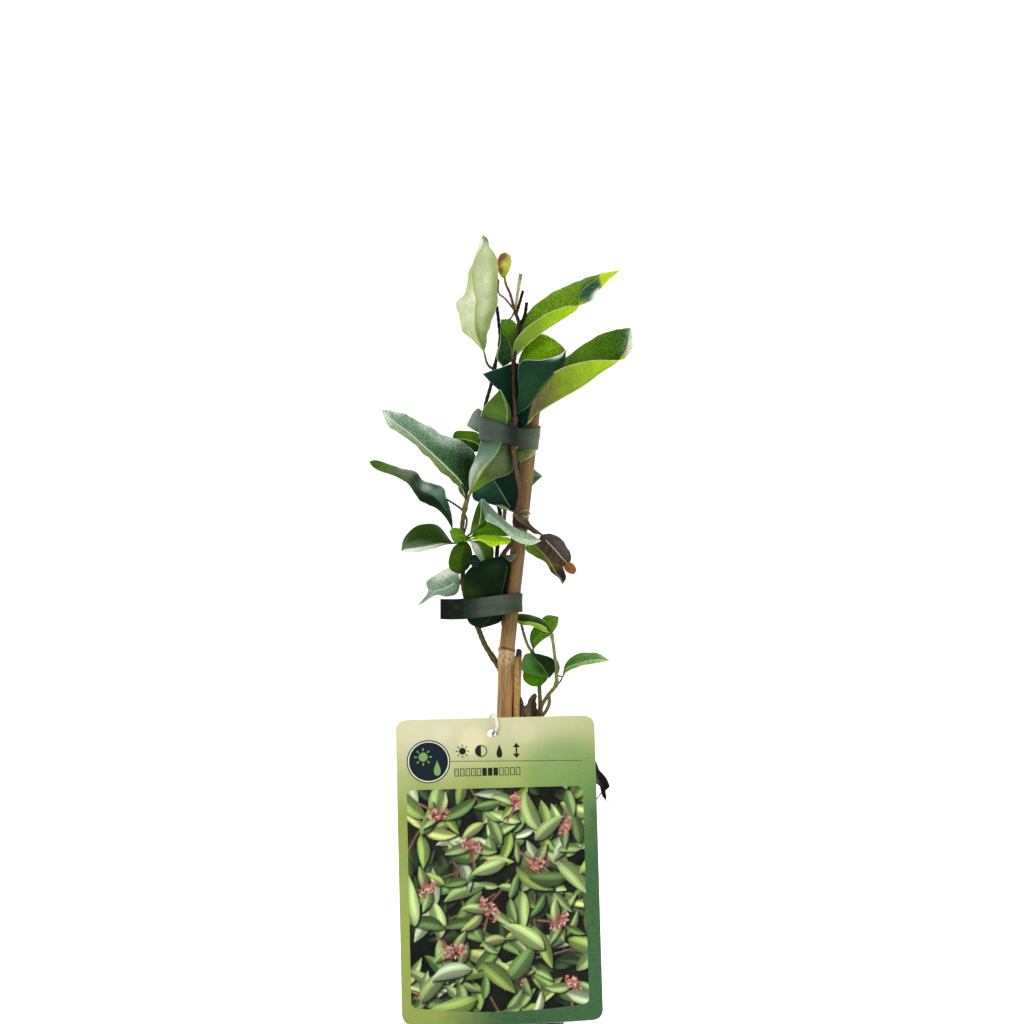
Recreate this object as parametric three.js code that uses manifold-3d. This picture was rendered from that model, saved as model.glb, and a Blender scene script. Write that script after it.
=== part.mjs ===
// A young honeysuckle vine as a nursery sells it: three twining stems and a low side
// shoot tied to a bamboo cane in a 9 cm pot, with a picture label tied on in front.
// Millimetres, +Z up, origin on the ground under the middle of the pot, front towards -Y.
import * as THREE from "three";
import { mergeVertices } from "three/addons/utils/BufferGeometryUtils.js";
import Module from "manifold-3d";

const wasm = await Module();
wasm.setup();

// ---- driving dimensions -------------------------------------------------------------
const CLEARANCE = 0.3; // between pieces that touch
const BLADE = 0.65; // thickness of a leaf blade
const ARCH = 0.07; // how far each half of a blade bulges, as a share of its width
const TAPE = 0.6; // thickness of the tie tape

const POT = {
  height: 95,
  topHalf: 43,
  footHalf: 31.5,
  rimHalf: 45,
  rimHeight: 7,
  corner: 8,
  wall: 1.2,
  floor: 3,
  holeRadius: 4,
  holeOffset: 21,
};
const SOIL = { top: 86, lump: 1.3, holeBottom: 57 };
const CANE = { radius: 3.9, foot: 12, node: 187, top: 334 };
const CANE_FOOT = new THREE.Vector3(-2.7, 0, CANE.foot);
const CANE_NODE = new THREE.Vector3(3.4, 0, CANE.node);
const CANE_TOP = new THREE.Vector3(19.6, 0, CANE.top);
const STUB = { x: 8.1, y: 2.6, radius: 2, top: 187.5 };
const LABEL = {
  width: 98,
  height: 150.5,
  thick: 0.9,
  corner: 6,
  bow: 2,
  lean: 12,
  roll: 1.5,
  middle: new THREE.Vector3(-0.5, -48.4, 80.8),
  eye: new THREE.Vector2(-1.3, 67.4),
  eyeSize: new THREE.Vector2(2.6, 2),
};
const TIE_RADIUS = 0.85;

// ---- solids -------------------------------------------------------------------------
const part = new THREE.Group();

function vector(point) {
  return point.isVector3 ? point : new THREE.Vector3(...point);
}

// A closed geometry as a manifold solid.
function solid(geometry) {
  const bare = new THREE.BufferGeometry();
  bare.setAttribute("position", geometry.getAttribute("position"));
  bare.setIndex(geometry.index);
  const merged = mergeVertices(bare, 1e-4);
  const numbers = { numProp: 3 };
  numbers.vertProperties = new Float32Array(merged.attributes.position.array);
  numbers.triVerts = new Uint32Array(merged.index.array);
  return new wasm.Manifold(new wasm.Mesh(numbers));
}

function joined(solids) {
  return solids.reduce((sum, next) => sum.add(next));
}

// Hangs a solid or a geometry in the part as one named mesh.
function piece(name, body, material) {
  let geometry = body;
  if (!body.isBufferGeometry) {
    const { vertProperties, triVerts } = body.getMesh();
    geometry = new THREE.BufferGeometry();
    geometry.setAttribute("position", new THREE.BufferAttribute(vertProperties, 3));
    geometry.setIndex(new THREE.BufferAttribute(triVerts, 1));
  }
  geometry.computeVertexNormals();
  const mesh = new THREE.Mesh(geometry, material);
  mesh.name = name;
  part.add(mesh);
  return mesh;
}

function finish(color, roughness) {
  return new THREE.MeshStandardMaterial({ color, roughness, metalness: 0 });
}

// The closed geometry of vertices and triangles given as plain lists.
function geometryOf(points, triangles) {
  const geometry = new THREE.BufferGeometry();
  const flat = points.flatMap((p) => [p.x, p.y, p.z]);
  geometry.setAttribute("position", new THREE.Float32BufferAttribute(flat, 3));
  geometry.setIndex(triangles);
  return geometry;
}

// Rings of equally many points, joined in order and closed by a fan at each end.
function loft(rings) {
  const count = rings[0].length;
  const points = rings.flat();
  const triangles = [];
  for (let r = 0; r + 1 < rings.length; r++) {
    for (let k = 0; k < count; k++) {
      const next = (k + 1) % count;
      const [a, b] = [r * count + k, r * count + next];
      triangles.push(a, b, b + count, a, b + count, a + count);
    }
  }
  const last = (rings.length - 1) * count;
  const low = points.push(middle(rings[0])) - 1;
  const high = points.push(middle(rings.at(-1))) - 1;
  for (let k = 0; k < count; k++) {
    const next = (k + 1) % count;
    triangles.push(low, next, k, high, last + k, last + next);
  }
  return geometryOf(points, triangles);
}

function middle(ring) {
  const sum = ring.reduce((total, p) => total.add(p), new THREE.Vector3());
  return sum.divideScalar(ring.length);
}

// A round bar through the points, its radius given at each of them. The rings are
// carried along by the least turn from one direction to the next, so they don't twist.
function bar(points, radii, sides) {
  const tangent = (i) => {
    const ahead = points[Math.min(i + 1, points.length - 1)];
    return ahead.clone().sub(points[Math.max(i - 1, 0)]).normalize();
  };
  let direction = tangent(0);
  const side = new THREE.Vector3(1, 0, 0);
  if (Math.abs(direction.x) > 0.8) side.set(0, 0, 1);
  const across = side.sub(direction.clone().multiplyScalar(side.dot(direction))).normalize();
  const turn = new THREE.Quaternion();
  const rings = points.map((centre, i) => {
    turn.setFromUnitVectors(direction, tangent(i));
    across.applyQuaternion(turn);
    direction = tangent(i);
    const up = direction.clone().cross(across);
    return Array.from({ length: sides }, (_, k) => {
      const angle = (2 * Math.PI * k) / sides;
      const out = across.clone().multiplyScalar(Math.cos(angle));
      out.addScaledVector(up, Math.sin(angle));
      return out.multiplyScalar(radii[i]).add(centre);
    });
  });
  return loft(rings);
}

// A stem: a smooth bar through hand-set points, tapering from one radius to the other.
function stem(route, from, to, step = 8, sides = 6) {
  const curve = new THREE.CatmullRomCurve3(route.map(vector));
  const steps = Math.max(2, Math.round(curve.getLength() / step));
  const points = curve.getSpacedPoints(steps);
  const radii = points.map((_, i) => from + ((to - from) * i) / steps);
  return solid(bar(points, radii, sides));
}

// A thin closed sheet over a grid of points, alike on both faces. A row whose points all
// coincide is a pointed end.
function sheet(rows, thickness) {
  const last = rows.length - 1;
  const wide = rows[0].length - 1;
  const pointed = (i) => rows[i][0].distanceTo(rows[i][wide]) < 1e-6;
  const points = [];
  const ids = rows.map(() => []);
  rows.forEach((row, i) => {
    row.forEach((point, j) => {
      if (pointed(i) && j > 0) {
        ids[i].push(ids[i][0]);
        return;
      }
      const column = pointed(i) ? wide / 2 : j;
      const near = pointed(i) ? Math.min(Math.max(i, 1), last - 1) : i;
      const along = rows[Math.min(i + 1, last)][column].clone();
      along.sub(rows[Math.max(i - 1, 0)][column]);
      const over = rows[near][Math.min(column + 1, wide)].clone();
      over.sub(rows[near][Math.max(column - 1, 0)]);
      const out = along.cross(over).setLength(thickness / 2);
      ids[i].push(points.length);
      points.push(point.clone().add(out), point.clone().sub(out));
    });
  });
  const triangles = [];
  const face = (a, b, c) => {
    if (a !== b && b !== c && a !== c) triangles.push(a, b, c, a + 1, c + 1, b + 1);
  };
  const rim = (a, b) => {
    if (a !== b) triangles.push(a, b, b + 1, a, b + 1, a + 1);
  };
  for (let i = 0; i < last; i++) {
    for (let j = 0; j < wide; j++) {
      face(ids[i][j], ids[i + 1][j], ids[i + 1][j + 1]);
      face(ids[i][j], ids[i + 1][j + 1], ids[i][j + 1]);
    }
    rim(ids[i + 1][0], ids[i][0]);
    rim(ids[i][wide], ids[i + 1][wide]);
  }
  for (let j = 0; j < wide; j++) {
    rim(ids[0][j], ids[0][j + 1]);
    rim(ids[last][j + 1], ids[last][j]);
  }
  return geometryOf(points, triangles);
}

// A leaf: { base, across, tip }. Each entry of across is one section from the left edge
// over the rib to the right edge, seen on the upper face with the tip up. Smooth curves
// run from the base through the sections to the tip, and each half is slightly arched.
function ribPoint(leaf, t) {
  return smooth(leaf, 1).getPoint(t);
}

function smooth(leaf, column) {
  const points = [leaf.base, ...leaf.across.map((section) => section[column]), leaf.tip];
  return new THREE.CatmullRomCurve3(points.map(vector));
}

function blade(leaf) {
  const [left, rib, right] = [0, 1, 2].map((column) => smooth(leaf, column));
  const steps = Math.round(1.6 * leaf.across.length) + 2;
  const rows = [];
  for (let i = 0; i <= steps; i++) {
    const t = i / steps;
    const middleRib = rib.getPoint(t);
    const along = rib.getTangent(t);
    const half = (edge, side, share) => {
      const width = edge.clone().sub(middleRib);
      const out = along.clone().cross(width).multiplyScalar(-side).normalize();
      const rise = ARCH * width.length() * 4 * share * (1 - share);
      return middleRib.clone().addScaledVector(width, share).addScaledVector(out, rise);
    };
    const [a, b] = [left.getPoint(t), right.getPoint(t)];
    if (leaf.across.length < 4) rows.push([a, middleRib, b]);
    else rows.push([a, half(a, -1, 0.5), middleRib, half(b, 1, 0.5), b]);
  }
  return solid(sheet(rows, BLADE));
}

// A leaf with its stalk, which starts inside the stem and runs on into the rib.
function leafOn(route, leaf, radius = 0.75) {
  const ends = [...route, leaf.base, ribPoint(leaf, 0.09), ribPoint(leaf, 0.18)];
  return stem(ends, radius, 0.42, 4, 5).add(blade(leaf));
}

// ---- pot ----------------------------------------------------------------------------
function roundedSquare(half, corner, z) {
  const ring = [];
  for (let k = 0; k < 20; k++) {
    const quarter = Math.floor(k / 5);
    const angle = (quarter + (k % 5) / 4) * (Math.PI / 2);
    const [sx, sy] = [[1, 1], [-1, 1], [-1, -1], [1, -1]][quarter];
    const x = sx * (half - corner) + corner * Math.cos(angle);
    const y = sy * (half - corner) + corner * Math.sin(angle);
    ring.push(new THREE.Vector3(x, y, z));
  }
  return ring;
}

function wallHalf(z) {
  const flangeFoot = POT.height - POT.rimHeight;
  return POT.footHalf + ((POT.topHalf - POT.footHalf) * z) / flangeFoot;
}

function pot() {
  const flangeFoot = POT.height - POT.rimHeight;
  const shell = loft([
    roundedSquare(POT.footHalf, POT.corner, 0),
    roundedSquare(POT.topHalf, POT.corner, flangeFoot),
    roundedSquare(POT.rimHalf, POT.corner + 2, flangeFoot + 0.6),
    roundedSquare(POT.rimHalf, POT.corner + 2, POT.height),
    roundedSquare(POT.rimHalf - POT.wall, POT.corner + 1, POT.height),
    roundedSquare(wallHalf(flangeFoot) - POT.wall, POT.corner - 1, flangeFoot),
    roundedSquare(wallHalf(POT.floor) - POT.wall, POT.corner - 1, POT.floor),
  ]);
  let body = solid(shell);
  for (const sx of [-1, 1]) {
    for (const sy of [-1, 1]) {
      const drill = new THREE.CylinderGeometry(POT.holeRadius, POT.holeRadius, 20, 12);
      drill.rotateX(Math.PI / 2);
      drill.translate(sx * POT.holeOffset, sy * POT.holeOffset, 0);
      body = body.subtract(solid(drill));
    }
  }
  return body;
}

// ---- cane ---------------------------------------------------------------------------
// Straight below the node and leaning above it, with a low ring and a scar at the node.
function caneAt(z) {
  const [from, to] = z < CANE.node ? [CANE_FOOT, CANE_NODE] : [CANE_NODE, CANE_TOP];
  return from.clone().lerp(to, (z - from.z) / (to.z - from.z));
}

function cane(grow = 0, foot = CANE.foot, top = CANE.top) {
  const rings = [
    [foot, 0],
    [96, 0],
    [140, 0],
    [CANE.node - 7, 0],
    [CANE.node - 5, 0.25],
    [CANE.node - 3, 0],
    [CANE.node - 0.6, 0.3],
    [CANE.node + 0.6, 0.35],
    [CANE.node + 2.2, -0.1],
    [240, -0.15],
    [290, -0.25],
    [top, -0.4],
  ].filter(([z]) => z <= top);
  const points = rings.map(([z]) => caneAt(z));
  return solid(bar(points, rings.map(([, r]) => CANE.radius + grow + r), 12));
}

// ---- stems in the soil --------------------------------------------------------------
// Where each stem enters the soil, and its radius there. Its hole is plain and upright.
const ROOTED = {
  front: { x: 6, y: 10, radius: 1.6 },
  left: { x: -4, y: 12.5, radius: 1.8 },
  back: { x: 1.2, y: 15, radius: 1.5 },
  low: { x: 17, y: 4, radius: 1.7 },
  stub: { x: STUB.x, y: STUB.y, radius: STUB.radius },
  scrap: { x: 13.6, y: -1.8, radius: 1.2 },
};
const rootEnd = SOIL.holeBottom + CLEARANCE;

function rooted(name) {
  const { x, y } = ROOTED[name];
  return [
    [x, y, rootEnd],
    [x, y, SOIL.top - 6],
    [x, y, SOIL.top + 5],
  ];
}

function soil() {
  const heights = [POT.floor + CLEARANCE, SOIL.top];
  const inner = (z) => wallHalf(z) - POT.wall - CLEARANCE;
  const rings = heights.map((z) => roundedSquare(inner(z), POT.corner - 1, z));
  for (const share of [0.93, 0.72, 0.48, 0.22]) {
    const ring = roundedSquare(inner(SOIL.top), POT.corner - 1, SOIL.top);
    ring.forEach((p) => {
      p.x *= share;
      p.y *= share;
      const lumps = Math.sin(0.31 * p.x + 1.1) * Math.cos(0.27 * p.y - 0.6);
      p.z += SOIL.lump * (0.55 + 0.45 * lumps);
    });
    rings.push(ring);
  }
  let body = solid(loft(rings));
  for (const { x, y, radius } of Object.values(ROOTED)) {
    const wide = (radius + CLEARANCE) / Math.cos(Math.PI / 8);
    const height = 60;
    const hole = new THREE.CylinderGeometry(wide, wide, height, 8);
    hole.rotateX(Math.PI / 2);
    hole.translate(x, y, SOIL.holeBottom + height / 2);
    body = body.subtract(solid(hole));
  }
  return body.subtract(cane(CLEARANCE + 0.1, CANE.foot - CLEARANCE, 140));
}

// ---- the front stem and its leaves --------------------------------------------------
const UPPER_SMALL = {
  base: [1.8, -7.5, 328.6],
  across: [
    [[5.4, -9, 331], [-0.4, -8.5, 333.4], [7, -4.5, 336]],
    [[5, -12, 340.5], [0.7, -10.2, 341], [10, -3.5, 346.5]],
    [[1.6, -12.5, 344.6], [0.6, -10.2, 347.5], [6, -4.5, 352]],
  ],
  tip: [0.5, -8.5, 352],
};
const UPPER_RIGHT = {
  base: [5.7, -8.8, 332.3],
  across: [
    [[11, -4.5, 351], [11, -11, 337], [8.5, -13.5, 342.5]],
    [[17, 0.5, 359], [21, -12.5, 345.5], [20, -17.5, 353.5]],
    [[27, 2.5, 366.3], [31.5, -11.5, 351.7], [31, -18, 358]],
    [[37.5, 3, 371.2], [38.5, -7, 361], [40, -14.5, 358.3]],
    [[49, 2, 375], [47.5, -4, 369], [47.5, -8.5, 363]],
  ],
  tip: [60.5, -1, 377.2],
};
const CUPPED = {
  base: [8, -9, 304.5],
  across: [
    [[9.2, -6, 317], [14.5, -14, 309], [9.3, -13, 314]],
    [[10.4, -5, 335], [21, -17, 317], [10.2, -15, 330.4]],
    [[20.5, -3.5, 345], [27, -17, 324.5], [21, -19, 331.5]],
    [[29.5, -6.5, 340.3], [31.8, -13, 330], [29.5, -15, 334]],
  ],
  tip: [32.8, -9.5, 336.7],
};
const DARK_LEFT = {
  base: [7, -8, 304.5],
  across: [
    [[10.4, -6.6, 317], [5.2, -8.8, 308.5], [9.5, -4, 313]],
    [[9.4, -8.4, 329.8], [1.5, -11.3, 315.5], [3.5, -3.5, 323]],
    [[-1, -12.5, 327.4], [-4, -12.5, 320.7], [-2, -7, 325]],
  ],
  tip: [-8.5, -12, 324.8],
};
const LOWER_RIGHT = {
  base: [13.5, -8, 300],
  across: [
    [[20, -4.5, 318], [18.5, -10, 305], [17.5, -13, 312]],
    [[30, 1.5, 330.5], [29.5, -12.5, 312], [26.5, -17.5, 325]],
    [[40, 4, 338.7], [41, -12.5, 318.2], [40, -18.5, 330.2]],
    [[52.5, 4, 345.5], [52, -8, 327.3], [52, -15, 331.7]],
    [[62, 1.5, 348], [61, -4.5, 337.5], [61, -10, 332.3]],
  ],
  tip: [66.6, -3.5, 344],
};
const BEHIND_TAPE = {
  base: [8.9, -8, 289.5],
  across: [
    [[8.9, -6.3, 297], [10.8, -6.8, 296], [13, -6, 295]],
    [[9.8, -6.3, 305], [12.2, -7, 304], [14.3, -6, 303]],
  ],
  tip: [15, -6.5, 311],
};
const UNDER_TAPE = {
  base: [8.8, -8.4, 284.5],
  across: [[[13.5, -6.4, 288.5], [13.5, -6.8, 285.3], [13, -6.4, 282]]],
  tip: [18.4, -4.4, 286],
};
const DARK_BROAD = {
  base: [6, -4.5, 256.5],
  across: [
    [[-3, -1, 259.5], [3.2, -4.2, 262], [7.6, -3.6, 261.5]],
    [[-13.3, 1.5, 262.5], [0, -4, 267.5], [6.6, -3, 270]],
    [[-12.5, 1.5, 270.5], [-3.5, -3.2, 273.5], [3, -2.5, 277.5]],
  ],
  tip: [-7.5, -1, 279],
};
const GREY_SMALL = {
  base: [5.5, -6.6, 256.8],
  across: [[[1.6, -6.5, 257.2], [1.5, -7.2, 258.3], [1.6, -6.5, 259.6]]],
  tip: [-2, -6.6, 259.5],
};
const BEHIND_CANE = {
  base: [8, 6.7, 261],
  across: [
    [[8.3, 6.2, 283.5], [10.5, 6.8, 271], [12, 6.2, 261]],
    [[15, 7, 280], [15, 7.6, 273], [15.8, 7, 267.2]],
  ],
  tip: [21.4, 8.2, 274],
};
const BEHIND_WITHERED = {
  base: [16.5, -5.2, 242.8],
  across: [
    [[22, 0.5, 241], [18.6, -3.2, 239.2], [14.6, -4, 236.6]],
    [[28, 1.5, 236.5], [23, -1.2, 234.3], [19.5, -0.5, 232.8]],
    [[32, 1.5, 230], [27, -1, 228.3], [23.6, -0.5, 228]],
    [[32.6, 0.8, 224.8], [29.4, -1, 223.6], [27.4, -0.3, 223.2]],
  ],
  tip: [31.6, 0, 219.8],
};
const BIG_DARK = {
  base: [1.2, -5, 234.4],
  across: [
    [[3.2, 1.8, 227], [2.2, -5.2, 226], [-9.2, -10.5, 231]],
    [[1.3, 1.5, 217], [0.4, -5.4, 217], [-16.8, -11, 223]],
    [[0, 1.2, 208], [-1.8, -5.8, 208.3], [-17.2, -9.5, 210]],
    [[0.4, 0.5, 201.5], [-6, -6.3, 202.2], [-15.2, -8.6, 200.6]],
  ],
  tip: [-9.5, -7.2, 198],
};
const DARK_CURL = {
  base: [-9, -9.8, 230.4],
  across: [[[-12.5, -11.6, 228.4], [-13, -12.6, 231.6], [-12.6, -12, 234.8]]],
  tip: [-16.8, -12, 232.4],
};
const GREY_BRACT = {
  base: [1.5, -5.6, 234.3],
  across: [[[5.2, -6, 231.4], [5, -6.4, 233.2], [4.6, -6, 234.6]]],
  tip: [8.4, -6, 234.8],
};

const FRONT_STEM = [
  ...rooted("front"),
  [6, 9.6, 112],
  [5.4, 8.8, 135],
  [5, 7.6, 165],
  [4.4, 7.2, 195],
  [3.4, 6, 208],
  [1.6, 3.5, 218],
  [0.6, -0.5, 227.5],
  [0.8, -5, 234.6],
  [4.4, -7.6, 240.5],
  [5.7, -8, 244.5],
  [6.6, -8, 250],
  [8.5, -7.6, 256],
  [9.8, -7.6, 262],
  [10, -7.8, 267.5],
  [9, -8, 272.5],
  [8, -9, 278.5],
  [6.8, -10.4, 288],
  [7.5, -10.5, 299.5],
  [7.5, -10.5, 308],
  [7, -10.5, 316],
  [6.8, -10.5, 323],
  [7.1, -10.2, 331],
  [8.8, -9, 342],
  [9.2, -8, 351],
  [7.4, -7, 356.3],
];

function bud() {
  const profile = [
    [0, -6.6],
    [1.9, -4.6],
    [3.1, -1],
    [3.4, 2.2],
    [2.5, 5],
    [0, 6.5],
  ].map(([r, z]) => new THREE.Vector2(r, z));
  const geometry = new THREE.LatheGeometry(profile, 8);
  geometry.rotateX(Math.PI / 2);
  geometry.rotateY(0.12);
  geometry.translate(2.1, -5.5, 379.2);
  return solid(geometry);
}

function shootFront() {
  return joined([
    stem(FRONT_STEM, ROOTED.front.radius, 0.8, 8),
    stem([[9.2, -8, 351], [7.4, -7, 356.3], [5, -6.3, 365], [3, -5.8, 369.5], [2, -5.5, 375]], 0.8, 0.6),
    stem([[7.4, -7, 356.3], [2.5, -6, 362.5], [-0.6, -5.2, 365.2], [-0.7, -5, 372]], 0.6, 0.45),
    stem([[7, -7.2, 355.5], [6, -6.6, 353.5], [4.4, -6.2, 351.6]], 0.5, 0.4),
    stem([[7.6, -7, 356], [8.6, -6.4, 364], [10.4, -6, 374.8]], 0.85, 0.6),
    stem([[8, -7, 354.5], [9.4, -6, 359], [11.5, -5.6, 366.4]], 0.8, 0.75),
    stem([[9.2, -8, 349], [12, -4.6, 353], [13.4, -4, 360.6]], 0.9, 0.8),
    bud(),
    leafOn([[7, -10.2, 327.4], [4.6, -8.6, 327.6]], UPPER_SMALL),
    leafOn([[7.1, -10.2, 329.5]], UPPER_RIGHT, 0.9),
    leafOn([[7.5, -10.5, 302.5]], CUPPED, 0.9),
    leafOn([[7.5, -10.5, 301.8]], DARK_LEFT, 0.9),
    leafOn([[7.2, -10.5, 291], [10.6, -9.2, 295.5]], LOWER_RIGHT, 0.9),
    leafOn([[6.9, -10.4, 287.5]], BEHIND_TAPE, 0.6),
    leafOn([[7.2, -10, 284]], UNDER_TAPE, 0.6),
    leafOn([[8.2, -7.7, 255]], DARK_BROAD),
    leafOn([[8.4, -7.6, 255.6]], GREY_SMALL, 0.5),
    leafOn([[8.2, -7.6, 254.6], [5.6, -3, 254.2], [5.4, 2.5, 256.4]], BEHIND_CANE, 0.6),
    leafOn([[7.6, -7.8, 253], [12.6, -5.7, 246.8]], BEHIND_WITHERED, 0.6),
    leafOn([[0.8, -4, 233.4]], BIG_DARK, 0.9),
    blade(DARK_CURL),
    blade(GREY_BRACT),
  ]);
}

// ---- the left stem and its leaves ---------------------------------------------------
const UNDER_TAPE_LEFT = {
  base: [-15.3, -5.4, 264.5],
  across: [
    [[-15.2, -9, 275.5], [-9.4, -10, 276.5], [-4, -8.6, 271.8]],
    [[-12, -12.6, 283.5], [-2.2, -11, 285], [6, -6.4, 276.4]],
    [[-9.2, -13.4, 292.6], [1.2, -11, 294], [5.4, -7.2, 289]],
    [[-8.6, -13.8, 305], [2.6, -12.6, 305], [4.8, -10.4, 304]],
  ],
  tip: [0.8, -14.2, 316.6],
};
const SILVER_BIG = {
  base: [-16.6, -4.6, 264],
  across: [
    [[-19.2, -2, 267.6], [-19.4, -5, 270.5], [-11, -1.6, 280]],
    [[-28.2, -5, 275], [-26.8, -8.4, 278.5], [-15.5, -2.6, 288.7]],
    [[-38.4, -6, 285.6], [-36.8, -9.6, 287.8], [-30, -1.5, 295.6]],
    [[-48, -6, 293.8], [-45, -8.6, 295.2], [-42.5, -2, 302.6]],
    [[-55.6, -6.5, 298.6], [-52.8, -7.6, 301], [-53, -4.5, 306.6]],
  ],
  tip: [-59.4, -8, 307],
};
const BEHIND_SILVER = {
  base: [-17.4, -1.5, 262.5],
  across: [[[-20.6, 1.5, 266.6], [-18.8, 0.6, 267.6], [-16.4, 1, 268.4]]],
  tip: [-21.2, 2.6, 271.4],
};
const RIBBON = {
  base: [-23.5, -3, 246.8],
  across: [
    [[-27.8, -3.4, 254], [-26.2, -4, 254.4], [-24.2, -2, 255.6]],
    [[-34.8, -7.4, 260], [-32, -6.4, 262.6], [-27.8, -1.4, 267]],
    [[-40.2, -9.2, 264.8], [-38.3, -5, 268.2], [-36, 0.8, 271.9]],
    [[-43, -9, 274.6], [-43, -4, 271.8], [-43.4, 1.6, 268.4]],
    [[-50, -6, 278], [-50.4, -3.4, 275.8], [-51, -0.5, 273]],
    [[-58, -4.5, 280.8], [-58.4, -3.4, 279], [-59, -2, 276.8]],
  ],
  tip: [-65.6, -3.5, 281],
};
const HALF_DISC = {
  base: [-23.5, -6.5, 240.4],
  across: [
    [[-30.5, -11.4, 239.4], [-29.6, -8, 240.2], [-26.8, -3, 244.4]],
    [[-37, -13.6, 237.6], [-36.6, -7.4, 238.8], [-32, 1, 249.8]],
    [[-43, -12, 236.8], [-43.6, -6.6, 237.8], [-41.8, 1.6, 249]],
    [[-46.8, -8.4, 236.4], [-47.6, -5.6, 237.2], [-48.4, -1.4, 242.6]],
  ],
  tip: [-49, -5.6, 236.4],
};
const BRIGHT_LEFT = {
  base: [-16.4, -6.6, 243.2],
  across: [
    [[-19, -9, 241.4], [-19, -9.6, 244.2], [-19, -8.6, 247]],
    [[-22.8, -9.4, 241], [-22.6, -10.4, 244.8], [-22.8, -9.4, 248.2]],
  ],
  tip: [-25.2, -9.4, 246.6],
};
const BRIGHT_RIGHT = {
  base: [-15, -6.4, 242.2],
  across: [
    [[-10.5, -8, 244.3], [-10, -9, 242.8], [-9.6, -9, 241.6]],
    [[-5, -9, 244.6], [-5, -10.4, 241.6], [-3.8, -12, 238.6]],
    [[0.4, -9, 243.6], [0.4, -10.4, 241.6], [-0.8, -10.8, 239.6]],
  ],
  tip: [5, -10.4, 242],
};
const MID_GREEN = {
  base: [-14.6, -5, 243.4],
  across: [
    [[-9.6, -2.4, 251], [-9.5, -4.6, 247.2], [-9, -5.6, 243.4]],
    [[-3.4, -2.4, 250.6], [-3, -4.6, 247.4], [-2.6, -5.4, 244]],
  ],
  tip: [3.4, -4.8, 244.8],
};
const UPRIGHT = {
  base: [-15.4, -4.4, 245],
  across: [
    [[-14.2, -2.6, 249], [-12.6, -5, 249.3], [-10.6, -4, 249.6]],
    [[-12.4, -3, 256], [-10.9, -5, 256.3], [-9.2, -4.4, 256.6]],
  ],
  tip: [-9.4, -5.6, 262.6],
};
const SILVER_CURVED = {
  base: [-7.6, -10, 252.4],
  across: [
    [[-9, -9.8, 262.5], [-6, -11.4, 255], [-6, -11.2, 251.4]],
    [[-2, -10.6, 256], [-1.6, -12.4, 252], [-0.4, -12, 248.6]],
    [[7, -10.8, 248.4], [6, -12.2, 245.6], [7.6, -12, 241.8]],
    [[15.4, -8.8, 245], [14.4, -10.6, 242.2], [15.4, -10.4, 239.6]],
  ],
  tip: [20.6, -9.4, 241.6],
};
const DARK_ROUND = {
  base: [-16.8, -5.8, 241.6],
  across: [
    [[-14.6, -6, 238.4], [-18.4, -7, 238], [-22.8, -6, 239]],
    [[-13.8, -6, 233], [-19.4, -8, 232], [-25.5, -6, 232.2]],
    [[-16, -6.4, 227.8], [-20, -7.4, 227.4], [-24.6, -6, 227.2]],
  ],
  tip: [-20.4, -6.8, 225],
};
const HANGING = {
  base: [-15, -5, 241.6],
  across: [
    [[-6.8, -3.4, 241.4], [-11.4, -4.4, 240.2], [-13.6, -4, 237.8]],
    [[-3.4, -3.4, 238], [-9, -4, 236], [-11.8, -3.6, 234]],
    [[-3.6, -2.4, 232], [-7.4, -3, 231], [-9.4, -2.6, 229.6]],
  ],
  tip: [-6.2, -1.6, 224],
};
const PALE_TAILED = {
  base: [-19.6, -3, 221.4],
  across: [
    [[-21.4, -2.6, 215.6], [-23, -3, 220.4], [-24.4, 0.6, 228]],
    [[-27.2, -3, 213.8], [-28, -2.6, 217.8], [-30.8, 1.2, 226]],
    [[-33, -2.4, 214.2], [-33.6, -2, 215], [-36.6, 0.2, 221.8]],
    [[-37.4, -2, 211.5], [-37.7, -1.8, 212.1], [-38.2, -1.4, 212.8]],
  ],
  tip: [-42.3, -1.6, 208.6],
};

const LEFT_STEM = [
  ...rooted("left"),
  [-3.4, 12, 115],
  [-0.6, 10.4, 145],
  [0.6, 8, 165],
  [-0.6, 7, 175],
  [-4, 5.6, 183],
  [-7.6, 3.6, 189.6],
  [-11, 1, 198],
  [-15, -1, 208],
  [-18, -2.5, 217],
  [-18.6, -3.4, 232],
  [-19, -4, 247],
  [-18, -4.6, 255.5],
  [-16.4, -5, 262.5],
];
const CLUSTER = [-18.8, -4, 242.6];

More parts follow.
